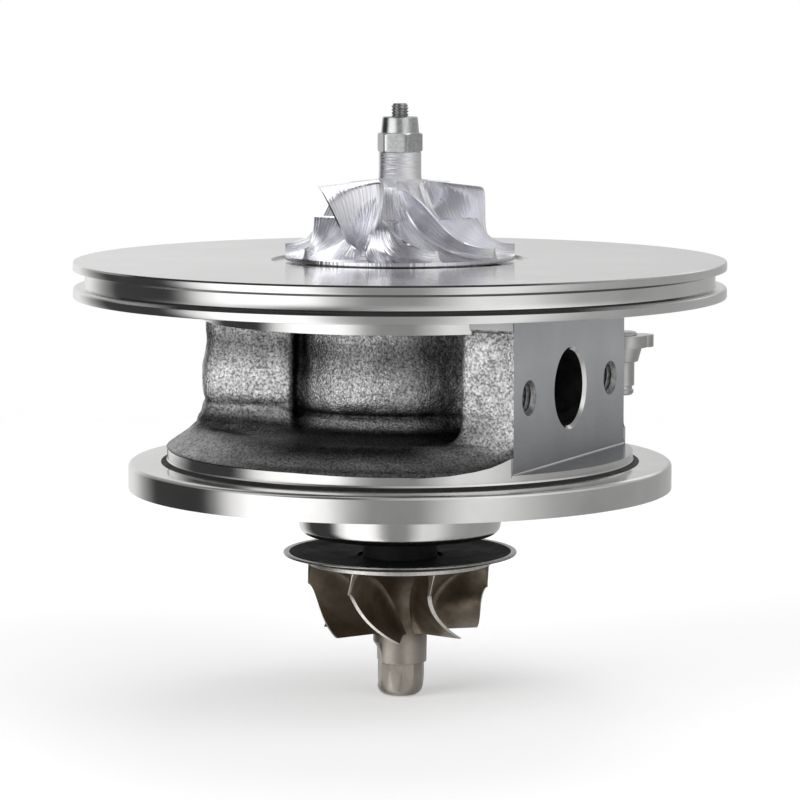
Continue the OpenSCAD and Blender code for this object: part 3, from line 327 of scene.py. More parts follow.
faces_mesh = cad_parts["bearing_housing"].data.copy()
faces_mesh.name = "housing_machined"
cut = bmesh.new()
cut.from_mesh(faces_mesh)
bmesh.ops.remove_doubles(cut, verts=cut.verts, dist=2e-6)
as_cast = []
for face in cut.faces:
    c = face.calc_center_median() * 1000
    reach = math.hypot(c.x, c.y)
    from_pivot = math.hypot(c.x - pivot_x, c.y - pivot_y)
    to_port = math.hypot(c.y, c.z - drain_height)
    in_port = (c.x > 14 and to_port < 8.1) or (c.x < -24 and to_port < 9.05) or to_port < 1.6
    in_bolt_hole = c.x > 24 and math.hypot(abs(c.y) - bolt_reach, c.z - drain_height) < 3.4
    on_pad = c.x > milled_plane - 0.01 and c.z > ledge_height + 0.02
    on_cut = on_pad or (c.x > milled_plane - 0.7 and in_port)
    on_ledge = abs(c.z - ledge_height) < 0.01 and c.x > milled_plane - 0.01
    on_boss = from_pivot < 4.15 or (abs(c.z - boss_top) < 0.01 and from_pivot < 6.5)
    between = ring_step_top + 0.03 < c.z < top_disc_underside - 0.03
    low_boss = 5.02 < c.z < ring_step_top + 0.03 and from_pivot < 6.6 and reach > 44.9
    inside = reach < (20.4 if c.z > 0 else 12.0)
    on_flange_rim = (reach > 51.0 and c.z > 0.01) or (abs(c.z - flange_top) < 0.01 and reach > 44.9)
    if (in_bolt_hole and c.x < milled_plane - 0.005) or on_flange_rim:
        as_cast.append(face)
        continue
    if on_ledge:
        face.material_index = as_shaded_ledge
    elif on_cut and (not in_port or c.x > milled_plane - 0.005):
        face.material_index = as_milled
    elif c.x < spot_face_plane + 0.05 and to_port > 5.5:
        face.material_index = as_milled
    elif inside or (in_port and not on_cut) or from_pivot < 4.15:
        face.material_index = as_bored
    slab_crown = top_disc_underside - 0.03 < c.z < slab_top - 0.02 and reach > 38.3 and not on_cut
    if (between and not (on_cut or on_ledge or on_boss or inside or in_port)) or low_boss or slab_crown:
        as_cast.append(face)
bmesh.ops.delete(cut, geom=as_cast, context="FACES")
cut.to_mesh(faces_mesh)
cut.free()
faces_mesh.attributes.remove(faces_mesh.attributes["custom_normal"])
creased(faces_mesh, 28)


def turned_round(tree, shader, amount):
    """Tool marks that run round the rotor axis stretch the highlights across them."""
    way = tree.nodes.new("ShaderNodeTangent")
    way.direction_type = "RADIAL"
    way.axis = "Z"
    shader.inputs["Anisotropic"].default_value = amount
    shader.inputs["Anisotropic Rotation"].default_value = 0.25
    tree.links.new(way.outputs["Tangent"], shader.inputs["Tangent"])


def tool_rings(tree, place, pitch, kind="RINGS"):
    """Fine rings round the axis, or bands along it, at that pitch in metres."""
    wave = tree.nodes.new("ShaderNodeTexWave")
    wave.wave_type = kind
    wave.rings_direction = "Z"
    wave.bands_direction = "Z"
    wave.inputs["Scale"].default_value = 2 * math.pi / (20 * pitch)
    wave.inputs["Distortion"].default_value = 0.6
    wave.inputs["Detail"].default_value = 1.0
    tree.links.new(place, wave.inputs["Vector"])
    return wave.outputs["Fac"]


turned_iron, tree, shader, place = new_finish("turned_iron", metallic=1.0)
mottle_and_painted_shade = grain(tree, place, 0.008, 4.0)
tone(tree, shader, "Base Color", mottle_and_painted_shade, [(0.1, (0.66, 0.65, 0.64)), (0.9, (0.83, 0.83, 0.82))])
tone(tree, shader, "Roughness", mottle_and_painted_shade, [(0.1, 0.1), (0.9, 0.18)])
turned_round(tree, shader, 0.4)
relief(tree, shader, (tool_rings(tree, place, 0.0003, "BANDS"), 0.000003, 0.1))


def by_height(tree, place, low, high):
    """Nought at one height of the piece and one at another, both in metres."""
    split = tree.nodes.new("ShaderNodeSeparateXYZ")
    tree.links.new(place, split.inputs[0])
    rise = tree.nodes.new("ShaderNodeMapRange")
    rise.inputs["From Min"].default_value = low
    rise.inputs["From Max"].default_value = high
    tree.links.new(split.outputs["Z"], rise.inputs["Value"])
    return rise.outputs["Result"]


milled_iron, tree, shader, place = new_finish("milled_iron", metallic=0.7)
haze = grain(tree, place, 0.009, 3.0)
scratch = grain(tree, place, 0.0009, 3.0, (1.0, 0.25, 3.0))
# Painted shade: the milled face is painted darker towards its foot, where it would mirror the dark below.
lower = by_height(tree, place, 0.007, 0.027)
mottle_and_painted_shade = shades(tree, lower, [(0.0, (0.42, 0.42, 0.42)), (1.0, (1.0, 1.0, 1.0))])
face_tone = shades(tree, haze, [(0.3, (0.75, 0.765, 0.78)), (0.7, (0.83, 0.845, 0.86))])
tree.links.new(mixed(tree, 1.0, face_tone, mottle_and_painted_shade, "MULTIPLY"), shader.inputs["Base Color"])
tone(tree, shader, "Roughness", scratch, [(0.3, 0.45), (0.7, 0.57)])
relief(tree, shader, (scratch, 0.00002, 0.25))

# Painted shade: a near-black, dull finish for the bores and oil ways and for gaps and corners in shade: the
# flange fillet, the shaft's seal boss, the back of the turbine wheel and the end of the lever shaft.
painted_shade_black, tree, shader, place = new_finish("painted_shade_black")
painted_dark = grain(tree, place, 0.002, 3.0)
tone(tree, shader, "Base Color", painted_dark, [(0.35, (0.004, 0.004, 0.004)), (0.75, (0.022, 0.021, 0.02))])
tone(tree, shader, "Roughness", painted_dark, [(0.3, 0.5), (0.7, 0.75)])
relief(tree, shader, (painted_dark, 0.0003, 0.5))

# Painted shade: the ledge under the pad gets a polished iron darker than the turned faces, standing for its
# shade.
polished_shaded_iron, tree, shader, place = new_finish("polished_shaded_iron", metallic=1.0, roughness=0.16)
haze = grain(tree, place, 0.006, 3.0)
tone(tree, shader, "Base Color", haze, [(0.3, (0.36, 0.365, 0.37)), (0.7, (0.44, 0.445, 0.45))])
relief(tree, shader, (haze, 0.00002, 0.15))

faced_iron, tree, shader, place = new_finish("faced_iron", metallic=0.5, roughness=0.5)
haze = grain(tree, place, 0.004, 3.0)
tone(tree, shader, "Base Color", haze, [(0.3, 0.56), (0.7, 0.68)])
relief(tree, shader, (haze, 0.00002, 0.2))

cuts = [face.material_index for face in faces_mesh.polygons]
faces_mesh.materials.clear()
machined = placed("housing_machined", faces_mesh, turned_iron, milled_iron, painted_shade_black, polished_shaded_iron)
faces_mesh.polygons.foreach_set("material_index", cuts)
casting_mesh.materials.append(faced_iron)
for face in casting_mesh.polygons:
    if face.center.z > 0.0334 and face.center.x > 0.02:
        face.material_index = 1
fillet_mesh = bpy.data.meshes.new("ledge_fillet")
fillet_rows = [(35.6, 7.28), (35.63, 7.19), (35.69, 7.13), (35.78, 7.1)]
fillet_points = [(x * 0.001, side * 0.0268, z * 0.001) for side in (-1, 1) for x, z in fillet_rows]
fillet_mesh.from_pydata(fillet_points, [], [(k, k + 1, k + 5, k + 4) for k in range(3)])
fillet_mesh.shade_smooth()
ledge_fillet = placed("ledge_fillet", fillet_mesh, turned_iron)
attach(ledge_fillet, "housing")
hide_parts("bearing_housing")
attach(machined, "housing")
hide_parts("bearing_housing")

# Flange rim
# The edge that the clamp of the turbine housing grips, turned and polished on the same casting: a rounded
# upper edge, the flat seat behind it and a small fillet at the foot of the ring step, painted black as shade.
# Two turned strips
# close the step under the feet of the slab.
flange_rows = [(0.0, 52.25), (0.4, 52.25), (4.2, 52.25), (4.45, 52.2), (4.68, 52.07), (4.85, 51.88),
               (4.95, 51.65), (5.0, 51.35), (5.0, 47.0), (5.0, 46.0), (5.06, 45.55), (5.25, 45.15),
               (5.55, 44.92), (5.9, 44.82)]
strip_radius, strip_foot = 45.03, 6.8


def ring_stack(name, heights, radii, loop=False, closed=True):
    """A skin of revolution whose radius may change round the axis: one row of radii for each height.
    Rows run upwards on the outside; a loop joins the last row to the first, and open ends may be closed."""
    rows, segments = radii.shape
    turn = np.arange(segments) * 2 * math.pi / segments
    levels = np.repeat(heights[:, None], segments, 1)
    points = np.stack([radii * np.cos(turn), radii * np.sin(turn), levels], -1)
    points = points.reshape(-1, 3).tolist()
    quads = []
    for row in range(rows if loop else rows - 1):
        a, b = row * segments, ((row + 1) % rows) * segments
        for k in range(segments):
            n = (k + 1) % segments
            quads.append((a + k, a + n, b + n, b + k))
    if closed and not loop:
        points += [[0, 0, heights[0]], [0, 0, heights[-1]]]
        low, high, top = len(points) - 2, len(points) - 1, (rows - 1) * segments
        for k in range(segments):
            n = (k + 1) % segments
            quads.append((low, n, k))
            quads.append((high, top + k, top + n))
    mesh = bpy.data.meshes.new(name)
    mesh.from_pydata((np.array(points) * 0.001).tolist(), [], quads)
    return mesh


def turned_skin(name, rows, segments, **ends):
    """A round skin through rows of height and radius, with ends as in ring_stack."""
    heights = np.array([z for z, r in rows])
    return ring_stack(name, heights, np.array([np.full(segments, r) for z, r in rows]), **ends)


flange_mesh = turned_skin("flange_rim", flange_rows, 256, closed=False)
creased(flange_mesh, 40)
flange_rim = placed("flange_rim", flange_mesh, turned_iron, painted_shade_black)
# Painted shadow: the fillet at the foot of the ring step, in shadow under the flare, takes the near-black
# finish.
for face in flange_mesh.polygons:
    if 0.005 < face.center.z < 0.0057 and math.hypot(face.center.x, face.center.y) < 0.0462:
        face.material_index = 1
foot_points, foot_quads = [], []
for side in (-1, 1):
    first = len(foot_points)
    for turn in np.linspace(3.0, 27.2, 36):
        a = math.radians(front_turn - turn)
        top = np.interp(turn, [3.0, 12.0, 18.0, 22.0, 25.0, 28.5], [7.2, 7.6, 8.2, 8.8, 9.6, 10.7])
        for z in (strip_foot, top):
            foot_points.append((strip_radius * math.cos(a), side * strip_radius * math.sin(a), z))
    foot_points += [(35.59, side * 26.4, strip_foot), (35.59, side * 26.4, 10.3)]
    for k in range(first, len(foot_points) - 2, 2):
        strip = (k, k + 2, k + 3, k + 1)
        foot_quads.append(strip if side < 0 else strip[::-1])
foot_mesh = bpy.data.meshes.new("slab_feet")
foot_mesh.from_pydata((np.array(foot_points) * 0.001).tolist(), [], foot_quads)
creased(foot_mesh, 30)
slab_feet = placed("slab_feet", foot_mesh, turned_iron)
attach(slab_feet, "housing")
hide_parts("bearing_housing")
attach(flange_rim, "housing")
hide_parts("bearing_housing")

# Tapped holes of the drain pad
# Two M6 holes cut into the milled pad: a chamfered mouth and a real helical thread down to the drill's floor,
# with bright crests where the tap has cut.
thread_pitch, tap_radius, mouth_radius, tapped_depth = 1.0, 2.5, 3.3, 10.0
turns = np.arange(72) / 72
depths = np.concatenate([[0.0, 0.3, 0.6], np.arange(0.62, tapped_depth, 0.07), [tapped_depth]])
tap_radii = []
for depth in depths:
    crest = np.abs(((depth / thread_pitch - turns) % 1.0) - 0.5) * 2
    thread = tap_radius + 0.45 * np.clip(crest * 1.25 - 0.12, 0, 1)
    mouth = mouth_radius + 0.02 - depth
    tap_radii.append(np.maximum(thread if depth > 0.35 else np.full(72, tap_radius), mouth))
tap_mesh = ring_stack("drain_tapped_holes", depths, np.array(tap_radii))
tap = bmesh.new()
tap.from_mesh(tap_mesh)
tap.verts.ensure_lookup_table()
bmesh.ops.delete(tap, geom=[tap.verts[len(tap.verts) - 2]], context="VERTS")
for v in tap.verts:
    v.co = Vector((milled_plane * 0.001 - v.co.z, v.co.y - bolt_reach * 0.001, v.co.x + drain_height * 0.001))
second = bmesh.ops.duplicate(tap, geom=tap.verts[:] + tap.edges[:] + tap.faces[:])
bmesh.ops.translate(tap, verts=[g for g in second["geom"] if isinstance(g, bmesh.types.BMVert)],
                    vec=(0, 2 * bolt_reach * 0.001, 0))
tap.to_mesh(tap_mesh)
tap.free()
creased(tap_mesh, 40)
tapped_thread, tree, shader, place = new_finish("tapped_thread", metallic=0.9, roughness=0.4)
swarf = grain(tree, place, 0.0008, 2.0)
tone(tree, shader, "Base Color", swarf, [(0.3, (0.2, 0.2, 0.2)), (0.7, (0.42, 0.42, 0.42))])
relief(tree, shader, (swarf, 0.00003, 0.3))
tapped = placed("drain_tapped_holes", tap_mesh, tapped_thread)
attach(tapped, "housing")
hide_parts("bearing_housing")

# Compressor backplate
# A turned disc of light alloy that closes the compressor housing, with an empty seal groove in its rim, whose
# edges carry painted shade lines round the front, and a shallow recess under the wheel; three sunk screws
# under the wheel hold it to the bearing housing.
alloy_tones, alloy_gloss = [(0.1, (0.73, 0.73, 0.72)), (0.9, (0.89, 0.89, 0.88))], [(0.1, 0.12), (0.9, 0.2)]
turned_alloy, tree, shader, place = new_finish("turned_alloy", metallic=1.0)
cloud = grain(tree, place, 0.011, 4.0)
tone(tree, shader, "Base Color", cloud, alloy_tones)
tone(tree, shader, "Roughness", cloud, alloy_gloss)
turned_round(tree, shader, 0.5)
relief(tree, shader, (tool_rings(tree, place, 0.0004), 0.000004, 0.1))


def dress(finish, *names):
    """Gives solids of the frame their finish in place of the plain one."""
    for name in names:
        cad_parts[name].data.materials.clear()
        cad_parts[name].data.materials.append(finish)


plate_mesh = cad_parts["compressor_backplate"].data.copy()
plate_mesh.name = "backplate_disc"
plate_mesh.transform(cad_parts["compressor_backplate"].matrix_world)
disc = bmesh.new()
disc.from_mesh(plate_mesh)
rim_faces = [f for f in disc.faces if min(math.hypot(v.co.x, v.co.y) for v in f.verts) > 0.0601
             and (abs(f.normal.z) < 0.5 or 0.0372 < f.calc_center_median().z < 0.0433)]
bmesh.ops.delete(disc, geom=rim_faces, context="FACES")
for vert in disc.verts:
    if math.hypot(vert.co.x, vert.co.y) > 0.0624:
        keep = 62.2 / 62.5 if vert.co.z > 0.04 else 62.3 / 62.5
        vert.co.x *= keep
        vert.co.y *= keep
disc.to_mesh(plate_mesh)
disc.free()
if "custom_normal" in plate_mesh.attributes:
    plate_mesh.attributes.remove(plate_mesh.attributes["custom_normal"])
creased(plate_mesh, 30)
plate_mesh.materials.clear()
plate_rows = [(36.8, 62.3), (36.84, 62.42), (36.98, 62.5), (38.28, 62.5), (38.5, 62.43), (38.68, 62.25),
              (38.78, 61.95), (38.8, 61.6), (38.8, 60.65), (38.86, 60.42), (39.05, 60.3), (41.5, 60.3),
              (41.9, 60.3), (42.05, 60.38), (42.1, 60.55), (42.1, 62.34), (42.14, 62.46), (42.24, 62.5),
              (43.36, 62.5), (43.54, 62.45), (43.66, 62.34), (43.7, 62.2)]
rim_mesh = turned_skin("backplate_rim", plate_rows, 320, closed=False)
creased(rim_mesh, 40)
# Painted shade: dark lines on the rounded top edge, under the lip and in the groove's lower corner, faded out
# towards the back; their weights go into a face attribute.
painted_dark = rim_mesh.attributes.new("painted_dark", "FLOAT", "FACE")
for face in rim_mesh.polygons:
    c = face.center * 1000
    in_corner = 38.35 < c.z < 39.1
    if c.z > 43.4:
        painted_dark_turns, most = [-71.5, -49.5, 20.5, 56.5], 1.0
    elif 41.5 < c.z < 41.9:
        painted_dark_turns, most = [-51.5, -29.5, 50.5, 76.5], 0.8
    elif in_corner and math.hypot(c.x, c.y) < 61.7:
        painted_dark_turns, most = [-75.5, -57.5, 55.5, 80.5], 1.0
    elif in_corner:
        painted_dark_turns, most = [-59.5, -39.5, 30.5, 62.5], 1.0
    else:
        continue
    painted_dark.data[face.index].value = np.interp(turn_from_front(c.x, c.y), painted_dark_turns, [0, most, most, 0])
# Painted shade: where the attribute is set, the alloy turns black, dull and not metallic.
rim_alloy, tree, shader, place = new_finish("rim_alloy")
cloud = grain(tree, place, 0.011, 4.0)
painted_dark_node = tree.nodes.new("ShaderNodeAttribute")
painted_dark_node.attribute_name = "painted_dark"
painted_dark_share = painted_dark_node.outputs["Fac"]
bright, black = shades(tree, cloud, alloy_tones), shades(tree, cloud, [(0.3, 0.008), (0.7, 0.022)])
tree.links.new(mixed(tree, painted_dark_share, bright, black), shader.inputs["Base Color"])
clean, dull = shades(tree, cloud, alloy_gloss), shades(tree, cloud, [(0.3, 0.55), (0.7, 0.7)])
tree.links.new(mixed(tree, painted_dark_share, clean, dull), shader.inputs["Roughness"])
tone(tree, shader, "Metallic", painted_dark_share, [(0.0, 1.0), (1.0, 0.0)])
turned_round(tree, shader, 0.5)
backplate_disc = placed("backplate_disc", plate_mesh, turned_alloy)
backplate_rim = placed("backplate_rim", rim_mesh, rim_alloy)
for piece in (backplate_disc, backplate_rim):
    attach(piece, "housing")
    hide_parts("compressor_backplate")
dress(turned_alloy, "compressor_backplate")

# Screws, pins and snap rings
# Hardened steel bought in and blackened: the backplate's sunk screws, the thrust bearing's locating pins and
# the wire rings that keep the floating bushes in their places.
blackened_steel, tree, shader, place = new_finish("blackened_steel", metallic=0.9)
wear = grain(tree, place, 0.0015, 3.0)
tone(tree, shader, "Base Color", wear, [(0.35, (0.05, 0.05, 0.055)), (0.75, (0.22, 0.22, 0.23))])
tone(tree, shader, "Roughness", wear, [(0.3, 0.3), (0.7, 0.5)])
relief(tree, shader, (wear, 0.00004, 0.3))
dress(blackened_steel, "backplate_screws", "thrust_bearing_pins", "bearing_snap_rings")

# Backplate O-ring
# A moulded ring of black rubber in the plate's spigot, which keeps the oil in.
seal_rubber, tree, shader, place = new_finish("seal_rubber", roughness=0.6)
bloom = grain(tree, place, 0.0012, 3.0)
tone(tree, shader, "Base Color", bloom, [(0.3, 0.012), (0.75, 0.03)])
relief(tree, shader, (bloom, 0.00005, 0.2))
dress(seal_rubber, "backplate_o_ring")

# Bearings
# Leaded bronze turned from bar: the thrust bearing, the two floating bushes of the rotor and the two bushes
# of the lever shaft.
bearing_bronze, tree, shader, place = new_finish("bearing_bronze", metallic=1.0)
smear = grain(tree, place, 0.002, 3.0)
tone(tree, shader, "Base Color", smear, [(0.3, (0.5, 0.33, 0.14)), (0.7, (0.72, 0.52, 0.26))])
tone(tree, shader, "Roughness", smear, [(0.3, 0.22), (0.7, 0.4)])
relief(tree, shader, (tool_rings(tree, place, 0.00035), 0.00001, 0.3))
dress(bearing_bronze, "thrust_bearing", "compressor_journal_bearing", "turbine_journal_bearing",
      "lever_bush_upper", "lever_bush_lower")

# Piston rings and oil deflector
# Split rings of ground grey iron that seal the shaft at both ends, and a plain sheet plate that throws the
# oil away from the compressor seal.
ground_iron, tree, shader, place = new_finish("ground_iron", metallic=0.95, roughness=0.34)
lapped = grain(tree, place, 0.001, 3.0)
tone(tree, shader, "Base Color", lapped, [(0.3, (0.2, 0.2, 0.2)), (0.7, (0.36, 0.36, 0.36))])
relief(tree, shader, (lapped, 0.00002, 0.2))
dress(ground_iron, "compressor_piston_ring", "turbine_piston_rings", "oil_deflector")

# Rotor shaft
# A ground steel shaft, friction welded to the turbine wheel: a seal boss with two ring grooves, the journals,
# a spigot for the compressor end and a rolled left-hand thread whose tip stands out of the nut.
shaft_profile = [
    (-11.5, 7.2), (-7.217, 7.2), (-7.217, 6.2), (-5.917, 6.2), (-5.917, 7.2), (-4.483, 7.2), (-4.483, 6.2),
    (-3.183, 6.2), (-3.183, 7.2), (-1.3, 7.2), (-1.1, 7.0), (-1.1, 3.5), (28.6, 3.5), (28.6, 2.5),
    (64.3, 2.5), (64.3, 1.65), (70.6, 1.65),
]
shaft_turns = np.arange(64) / 64
shaft_heights = [z for z, r in shaft_profile]
shaft_radii = [np.full(64, r) for z, r in shaft_profile]
for z in np.arange(70.65, 73.51, 0.04):
    crest = np.abs(((z / 0.6 + shaft_turns) % 1.0) - 0.5) * 2
    ridge = 1.65 - 0.24 * np.clip(1.15 - crest * 1.3, 0, 1)
    point = 1.65 - max(0.0, z - 72.9) * 0.7
    shaft_heights.append(z)
    shaft_radii.append(np.minimum(ridge, point))
shaft_mesh = ring_stack("shaft_with_thread", np.array(shaft_heights), np.array(shaft_radii))
creased(shaft_mesh, 40)
ground_steel, tree, shader, place = new_finish("ground_steel", metallic=1.0)
polish = grain(tree, place, 0.0012, 3.0, (1.0, 1.0, 5.0))
tone(tree, shader, "Base Color", polish, [(0.3, (0.3, 0.3, 0.31)), (0.7, (0.5, 0.5, 0.51))])
tone(tree, shader, "Roughness", polish, [(0.3, 0.16), (0.7, 0.3)])
relief(tree, shader, (polish, 0.00002, 0.2))
shaft = placed("shaft_with_thread", shaft_mesh, ground_steel, painted_shade_black)
# Painted shade: the seal boss and its grooves, in shade between the heat shield and the turbine wheel, take
# the near-black finish.
for face in shaft_mesh.polygons:
    if face.center.z < -0.001:
        face.material_index = 1
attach(shaft, "rotor")
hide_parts("rotor_shaft")
dress(ground_steel, "thrust_collar", "oil_flinger")

# Compressor wheel
# Milled from one block of aluminium: a curved hub with a long nose, five full blades and five splitters that
# start lower down. The cutter leaves fine lines along the flow, and the root of each blade is a fillet.
comp_back, comp_disc_top, comp_inlet_z, comp_hub_top, comp_nose = 43.75, 44.55, 57.9, 59.0, 64.3
comp_radius, comp_hub_radius, comp_inlet_radius, comp_tip_z = 22.0, 4.075, 16.3, 46.75
comp_blade_angle, comp_wrap, comp_early, splitter_start = -82.5, 56.0, 0.85, 0.34


def comp_hub(m):
    return np.array([comp_hub_radius + (comp_radius - comp_hub_radius) * (1 - math.cos(math.pi / 2 * m)),
                     comp_hub_top - (comp_hub_top - comp_disc_top) * math.sin(math.pi / 2 * m)])


def comp_shroud(m):
    spread = (1 - math.cos(math.pi / 2 * m)) ** 1.8
    return np.array([comp_inlet_radius + (comp_radius - comp_inlet_radius) * spread,
                     comp_inlet_z - (comp_inlet_z - comp_tip_z) * math.sin(math.pi / 2 * m)])


def comp_sweep(m, u):
    return comp_blade_angle - comp_wrap * (1 - comp_early * m ** 0.55 - (1 - comp_early) * m ** 3)


def lofted_blade(name, hub, shroud, sweep, start, root, thin, thick, limit):
    """One blade between a hub curve and a shroud curve, swept round the axis: two faces that part in a fillet
    at the hub, a rounded inlet edge and a flat tip. UV runs with the flow and up the blade."""
    along, up = 44, 18
    points, corners = [], []
    heights = np.concatenate([np.linspace(root, 0.12, 9), np.linspace(0.12, 1.0, up - 7)[1:]])
    for i in range(along + 1):
        share = i / along
        m = start + share * (1 - start)
        h, t = hub(m), shroud(m)
        span = np.linalg.norm(t - h)
        nose = math.sqrt(max(0.0, 1 - max(0.0, 1 - share / 0.035) ** 2)) * 0.9 + 0.1
        for side in (-1, 1):
            for u in heights:
                p = h + u * (t - h)
                r = min(p[0], limit - 0.02)
                width = thick + (thin - thick) * max(u, 0.0) + 1.5 * math.exp(-max(u, 0.0) * span / 0.5)
                a = math.radians(sweep(m, max(u, 0.0))) + side * width * nose / 2 / r
                points.append((r * math.cos(a) * 1e-3, r * math.sin(a) * 1e-3, p[1] * 1e-3))
                corners.append((share, u))
    row = len(heights)
    ring = 2 * row
    quads, tips = [], []
    for i in range(along):
        for j in range(row - 1):
            a, b = i * ring + j, (i + 1) * ring + j
            quads.append((a, a + 1, b + 1, b))
            quads.append((a + row, b + row, b + row + 1, a + row + 1))
        a, b = i * ring + row - 1, (i + 1) * ring + row - 1
        tips.append(len(quads))
        quads.append((a, a + row, b + row, b))
        quads.append((i * ring, (i + 1) * ring, (i + 1) * ring + row, i * ring + row))
    last = along * ring
    for j in range(row - 1):
        if heights[j] > 0:
            tips.append(len(quads))
        quads.append((j, j + row, j + row + 1, j + 1))
        quads.append((last + j, last + j + 1, last + j + row + 1, last + j + row))
    mesh = bpy.data.meshes.new(name)
    mesh.from_pydata(points, [], quads)
    tip_face = mesh.attributes.new("tip_face", "BOOLEAN", "FACE")
    for index in tips:
        tip_face.data[index].value = True
    flow = mesh.uv_layers.new(name="flow")
    for corner in mesh.loops:
        flow.data[corner.index].uv = corners[corner.vertex_index]
    tidy = bmesh.new()
    tidy.from_mesh(mesh)
    bmesh.ops.recalc_face_normals(tidy, faces=tidy.faces)
    tidy.to_mesh(mesh)
    tidy.free()
    creased(mesh, 38)
    return mesh


def blade_ring(name):
    """A node tree that sets one blade round the axis, with inputs for the count, the first angle and the
    finishes of the blade and of its tip."""
    tree = bpy.data.node_groups.new(name, "GeometryNodeTree")
    for label, kind in [("Geometry", "Geometry"), ("Count", "Int"), ("First angle", "Float"),
                        ("Finish", "Material"), ("Tip finish", "Material")]:
        tree.interface.new_socket(label, in_out="INPUT", socket_type="NodeSocket" + kind)
    tree.interface.new_socket("Geometry", in_out="OUTPUT", socket_type="NodeSocketGeometry")
    node, link = tree.nodes.new, tree.links.new
    given, made = node("NodeGroupInput"), node("NodeGroupOutput")
    points, setting = node("GeometryNodePoints"), node("GeometryNodeInstanceOnPoints")
    index, pitch, turn = node("GeometryNodeInputIndex"), node("ShaderNodeMath"), node("ShaderNodeMath")
    start, spin = node("ShaderNodeMath"), node("ShaderNodeCombineXYZ")
    real = node("GeometryNodeRealizeInstances")
    skin, ends = node("GeometryNodeSetMaterial"), node("GeometryNodeSetMaterial")
    marked = node("GeometryNodeInputNamedAttribute")
    marked.data_type = "BOOLEAN"
    marked.inputs["Name"].default_value = "tip_face"
    pitch.operation, turn.operation, start.operation = "DIVIDE", "MULTIPLY", "ADD"
    pitch.inputs[0].default_value = 2 * math.pi
    link(given.outputs["Count"], pitch.inputs[1])
    link(index.outputs["Index"], turn.inputs[0])
    link(pitch.outputs[0], turn.inputs[1])
    link(turn.outputs[0], start.inputs[0])
    link(given.outputs["First angle"], start.inputs[1])
    link(start.outputs[0], spin.inputs["Z"])
    link(given.outputs["Count"], points.inputs["Count"])
    link(points.outputs[0], setting.inputs["Points"])
    link(given.outputs["Geometry"], setting.inputs["Instance"])
    link(spin.outputs[0], setting.inputs["Rotation"])
    link(setting.outputs[0], real.inputs[0])
    link(real.outputs[0], skin.inputs["Geometry"])
    link(given.outputs["Finish"], skin.inputs["Material"])
    link(skin.outputs[0], ends.inputs["Geometry"])
    link(marked.outputs["Attribute"], ends.inputs["Selection"])
    link(given.outputs["Tip finish"], ends.inputs["Material"])
    link(ends.outputs[0], made.inputs[0])
    return tree


def set_round(name, blade, count, first, finish, tip_finish):
    """The blade repeated round the axis as one plain mesh."""
    carrier = bpy.data.objects.new(name, blade)
    bpy.context.scene.collection.objects.link(carrier)
    ring = carrier.modifiers.new("blade_ring", "NODES")
    ring.node_group = blade_ring(name + "_ring")
    values = {"Count": count, "First angle": first, "Finish": finish, "Tip finish": tip_finish}
    for socket in ring.node_group.interface.items_tree:
        if socket.in_out == "INPUT" and socket.name in values:
            ring[socket.identifier] = values[socket.name]
    shaped = carrier.evaluated_get(bpy.context.evaluated_depsgraph_get())
    plain = bpy.data.meshes.new_from_object(shaped)
    carrier.modifiers.remove(ring)
    carrier.data = plain
    return carrier


milled_aluminium, tree, shader, place = new_finish("milled_aluminium", metallic=1.0)
flow_map = tree.nodes.new("ShaderNodeUVMap")
flow_map.uv_map = "flow"
cutter = grain(tree, flow_map.outputs["UV"], 0.016, 2.0, (0.03, 1.0, 1.0))
strokes = grain(tree, flow_map.outputs["UV"], 0.045, 1.0, (0.04, 1.0, 1.0))
tint = grain(tree, place, 0.007, 2.0)
tone(tree, shader, "Base Color", tint, [(0.35, (0.8, 0.8, 0.86)), (0.65, (0.9, 0.9, 0.92))])
tone(tree, shader, "Roughness", cutter, [(0.3, 0.06), (0.7, 0.14)])
relief(tree, shader, (cutter, 0.00008, 0.35), (strokes, 0.0003, 0.4))

hub_rows = [(comp_back, 21.9), (comp_back + 0.1, 22.0), (comp_disc_top, 22.0)]
hub_rows += [tuple(comp_hub(m)[::-1]) for m in np.linspace(0.995, 0.06, 40)]
hub_rows += [(comp_hub_top + 0.2, comp_hub_radius + 0.06), (comp_hub_top + 1.0, comp_hub_radius),
             (comp_nose - 0.15, comp_hub_radius), (comp_nose, comp_hub_radius - 0.15), (comp_nose, 2.52),
             (comp_back, 2.52)]
comp_hub_mesh = turned_skin("compressor_hub", hub_rows, 160, loop=True)
flow = comp_hub_mesh.uv_layers.new(name="flow")
for corner in comp_hub_mesh.loops:
    p = comp_hub_mesh.vertices[corner.vertex_index].co
    drop = min(max((comp_hub_top - p.z * 1e3) / (comp_hub_top - comp_disc_top), 0.0), 1.0)
    swirl = math.degrees(math.atan2(p.y, p.x)) - comp_wrap * math.asin(drop) / (math.pi / 2)
    flow.data[corner.index].uv = (drop, (swirl % 360.0) / 36.0 if drop > 0.02 else p.z * 500)
creased(comp_hub_mesh, 35)
hub_piece = placed("compressor_hub", comp_hub_mesh, milled_aluminium)
comp_curves, comp_walls = (comp_hub, comp_shroud, comp_sweep), (-0.1, 0.5, 0.95, comp_radius)
full_blade = lofted_blade("full_blade", *comp_curves, 0.0, *comp_walls)
half_blade = lofted_blade("splitter_blade", *comp_curves, splitter_start, *comp_walls)
full_blades = set_round("compressor_full_blades", full_blade, 5, 0.0, milled_aluminium, milled_aluminium)
splitters = set_round("compressor_splitters", half_blade, 5, math.pi / 5, milled_aluminium, milled_aluminium)
for piece in (hub_piece, full_blades, splitters):
    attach(piece, "rotor")
    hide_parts("compressor_wheel")

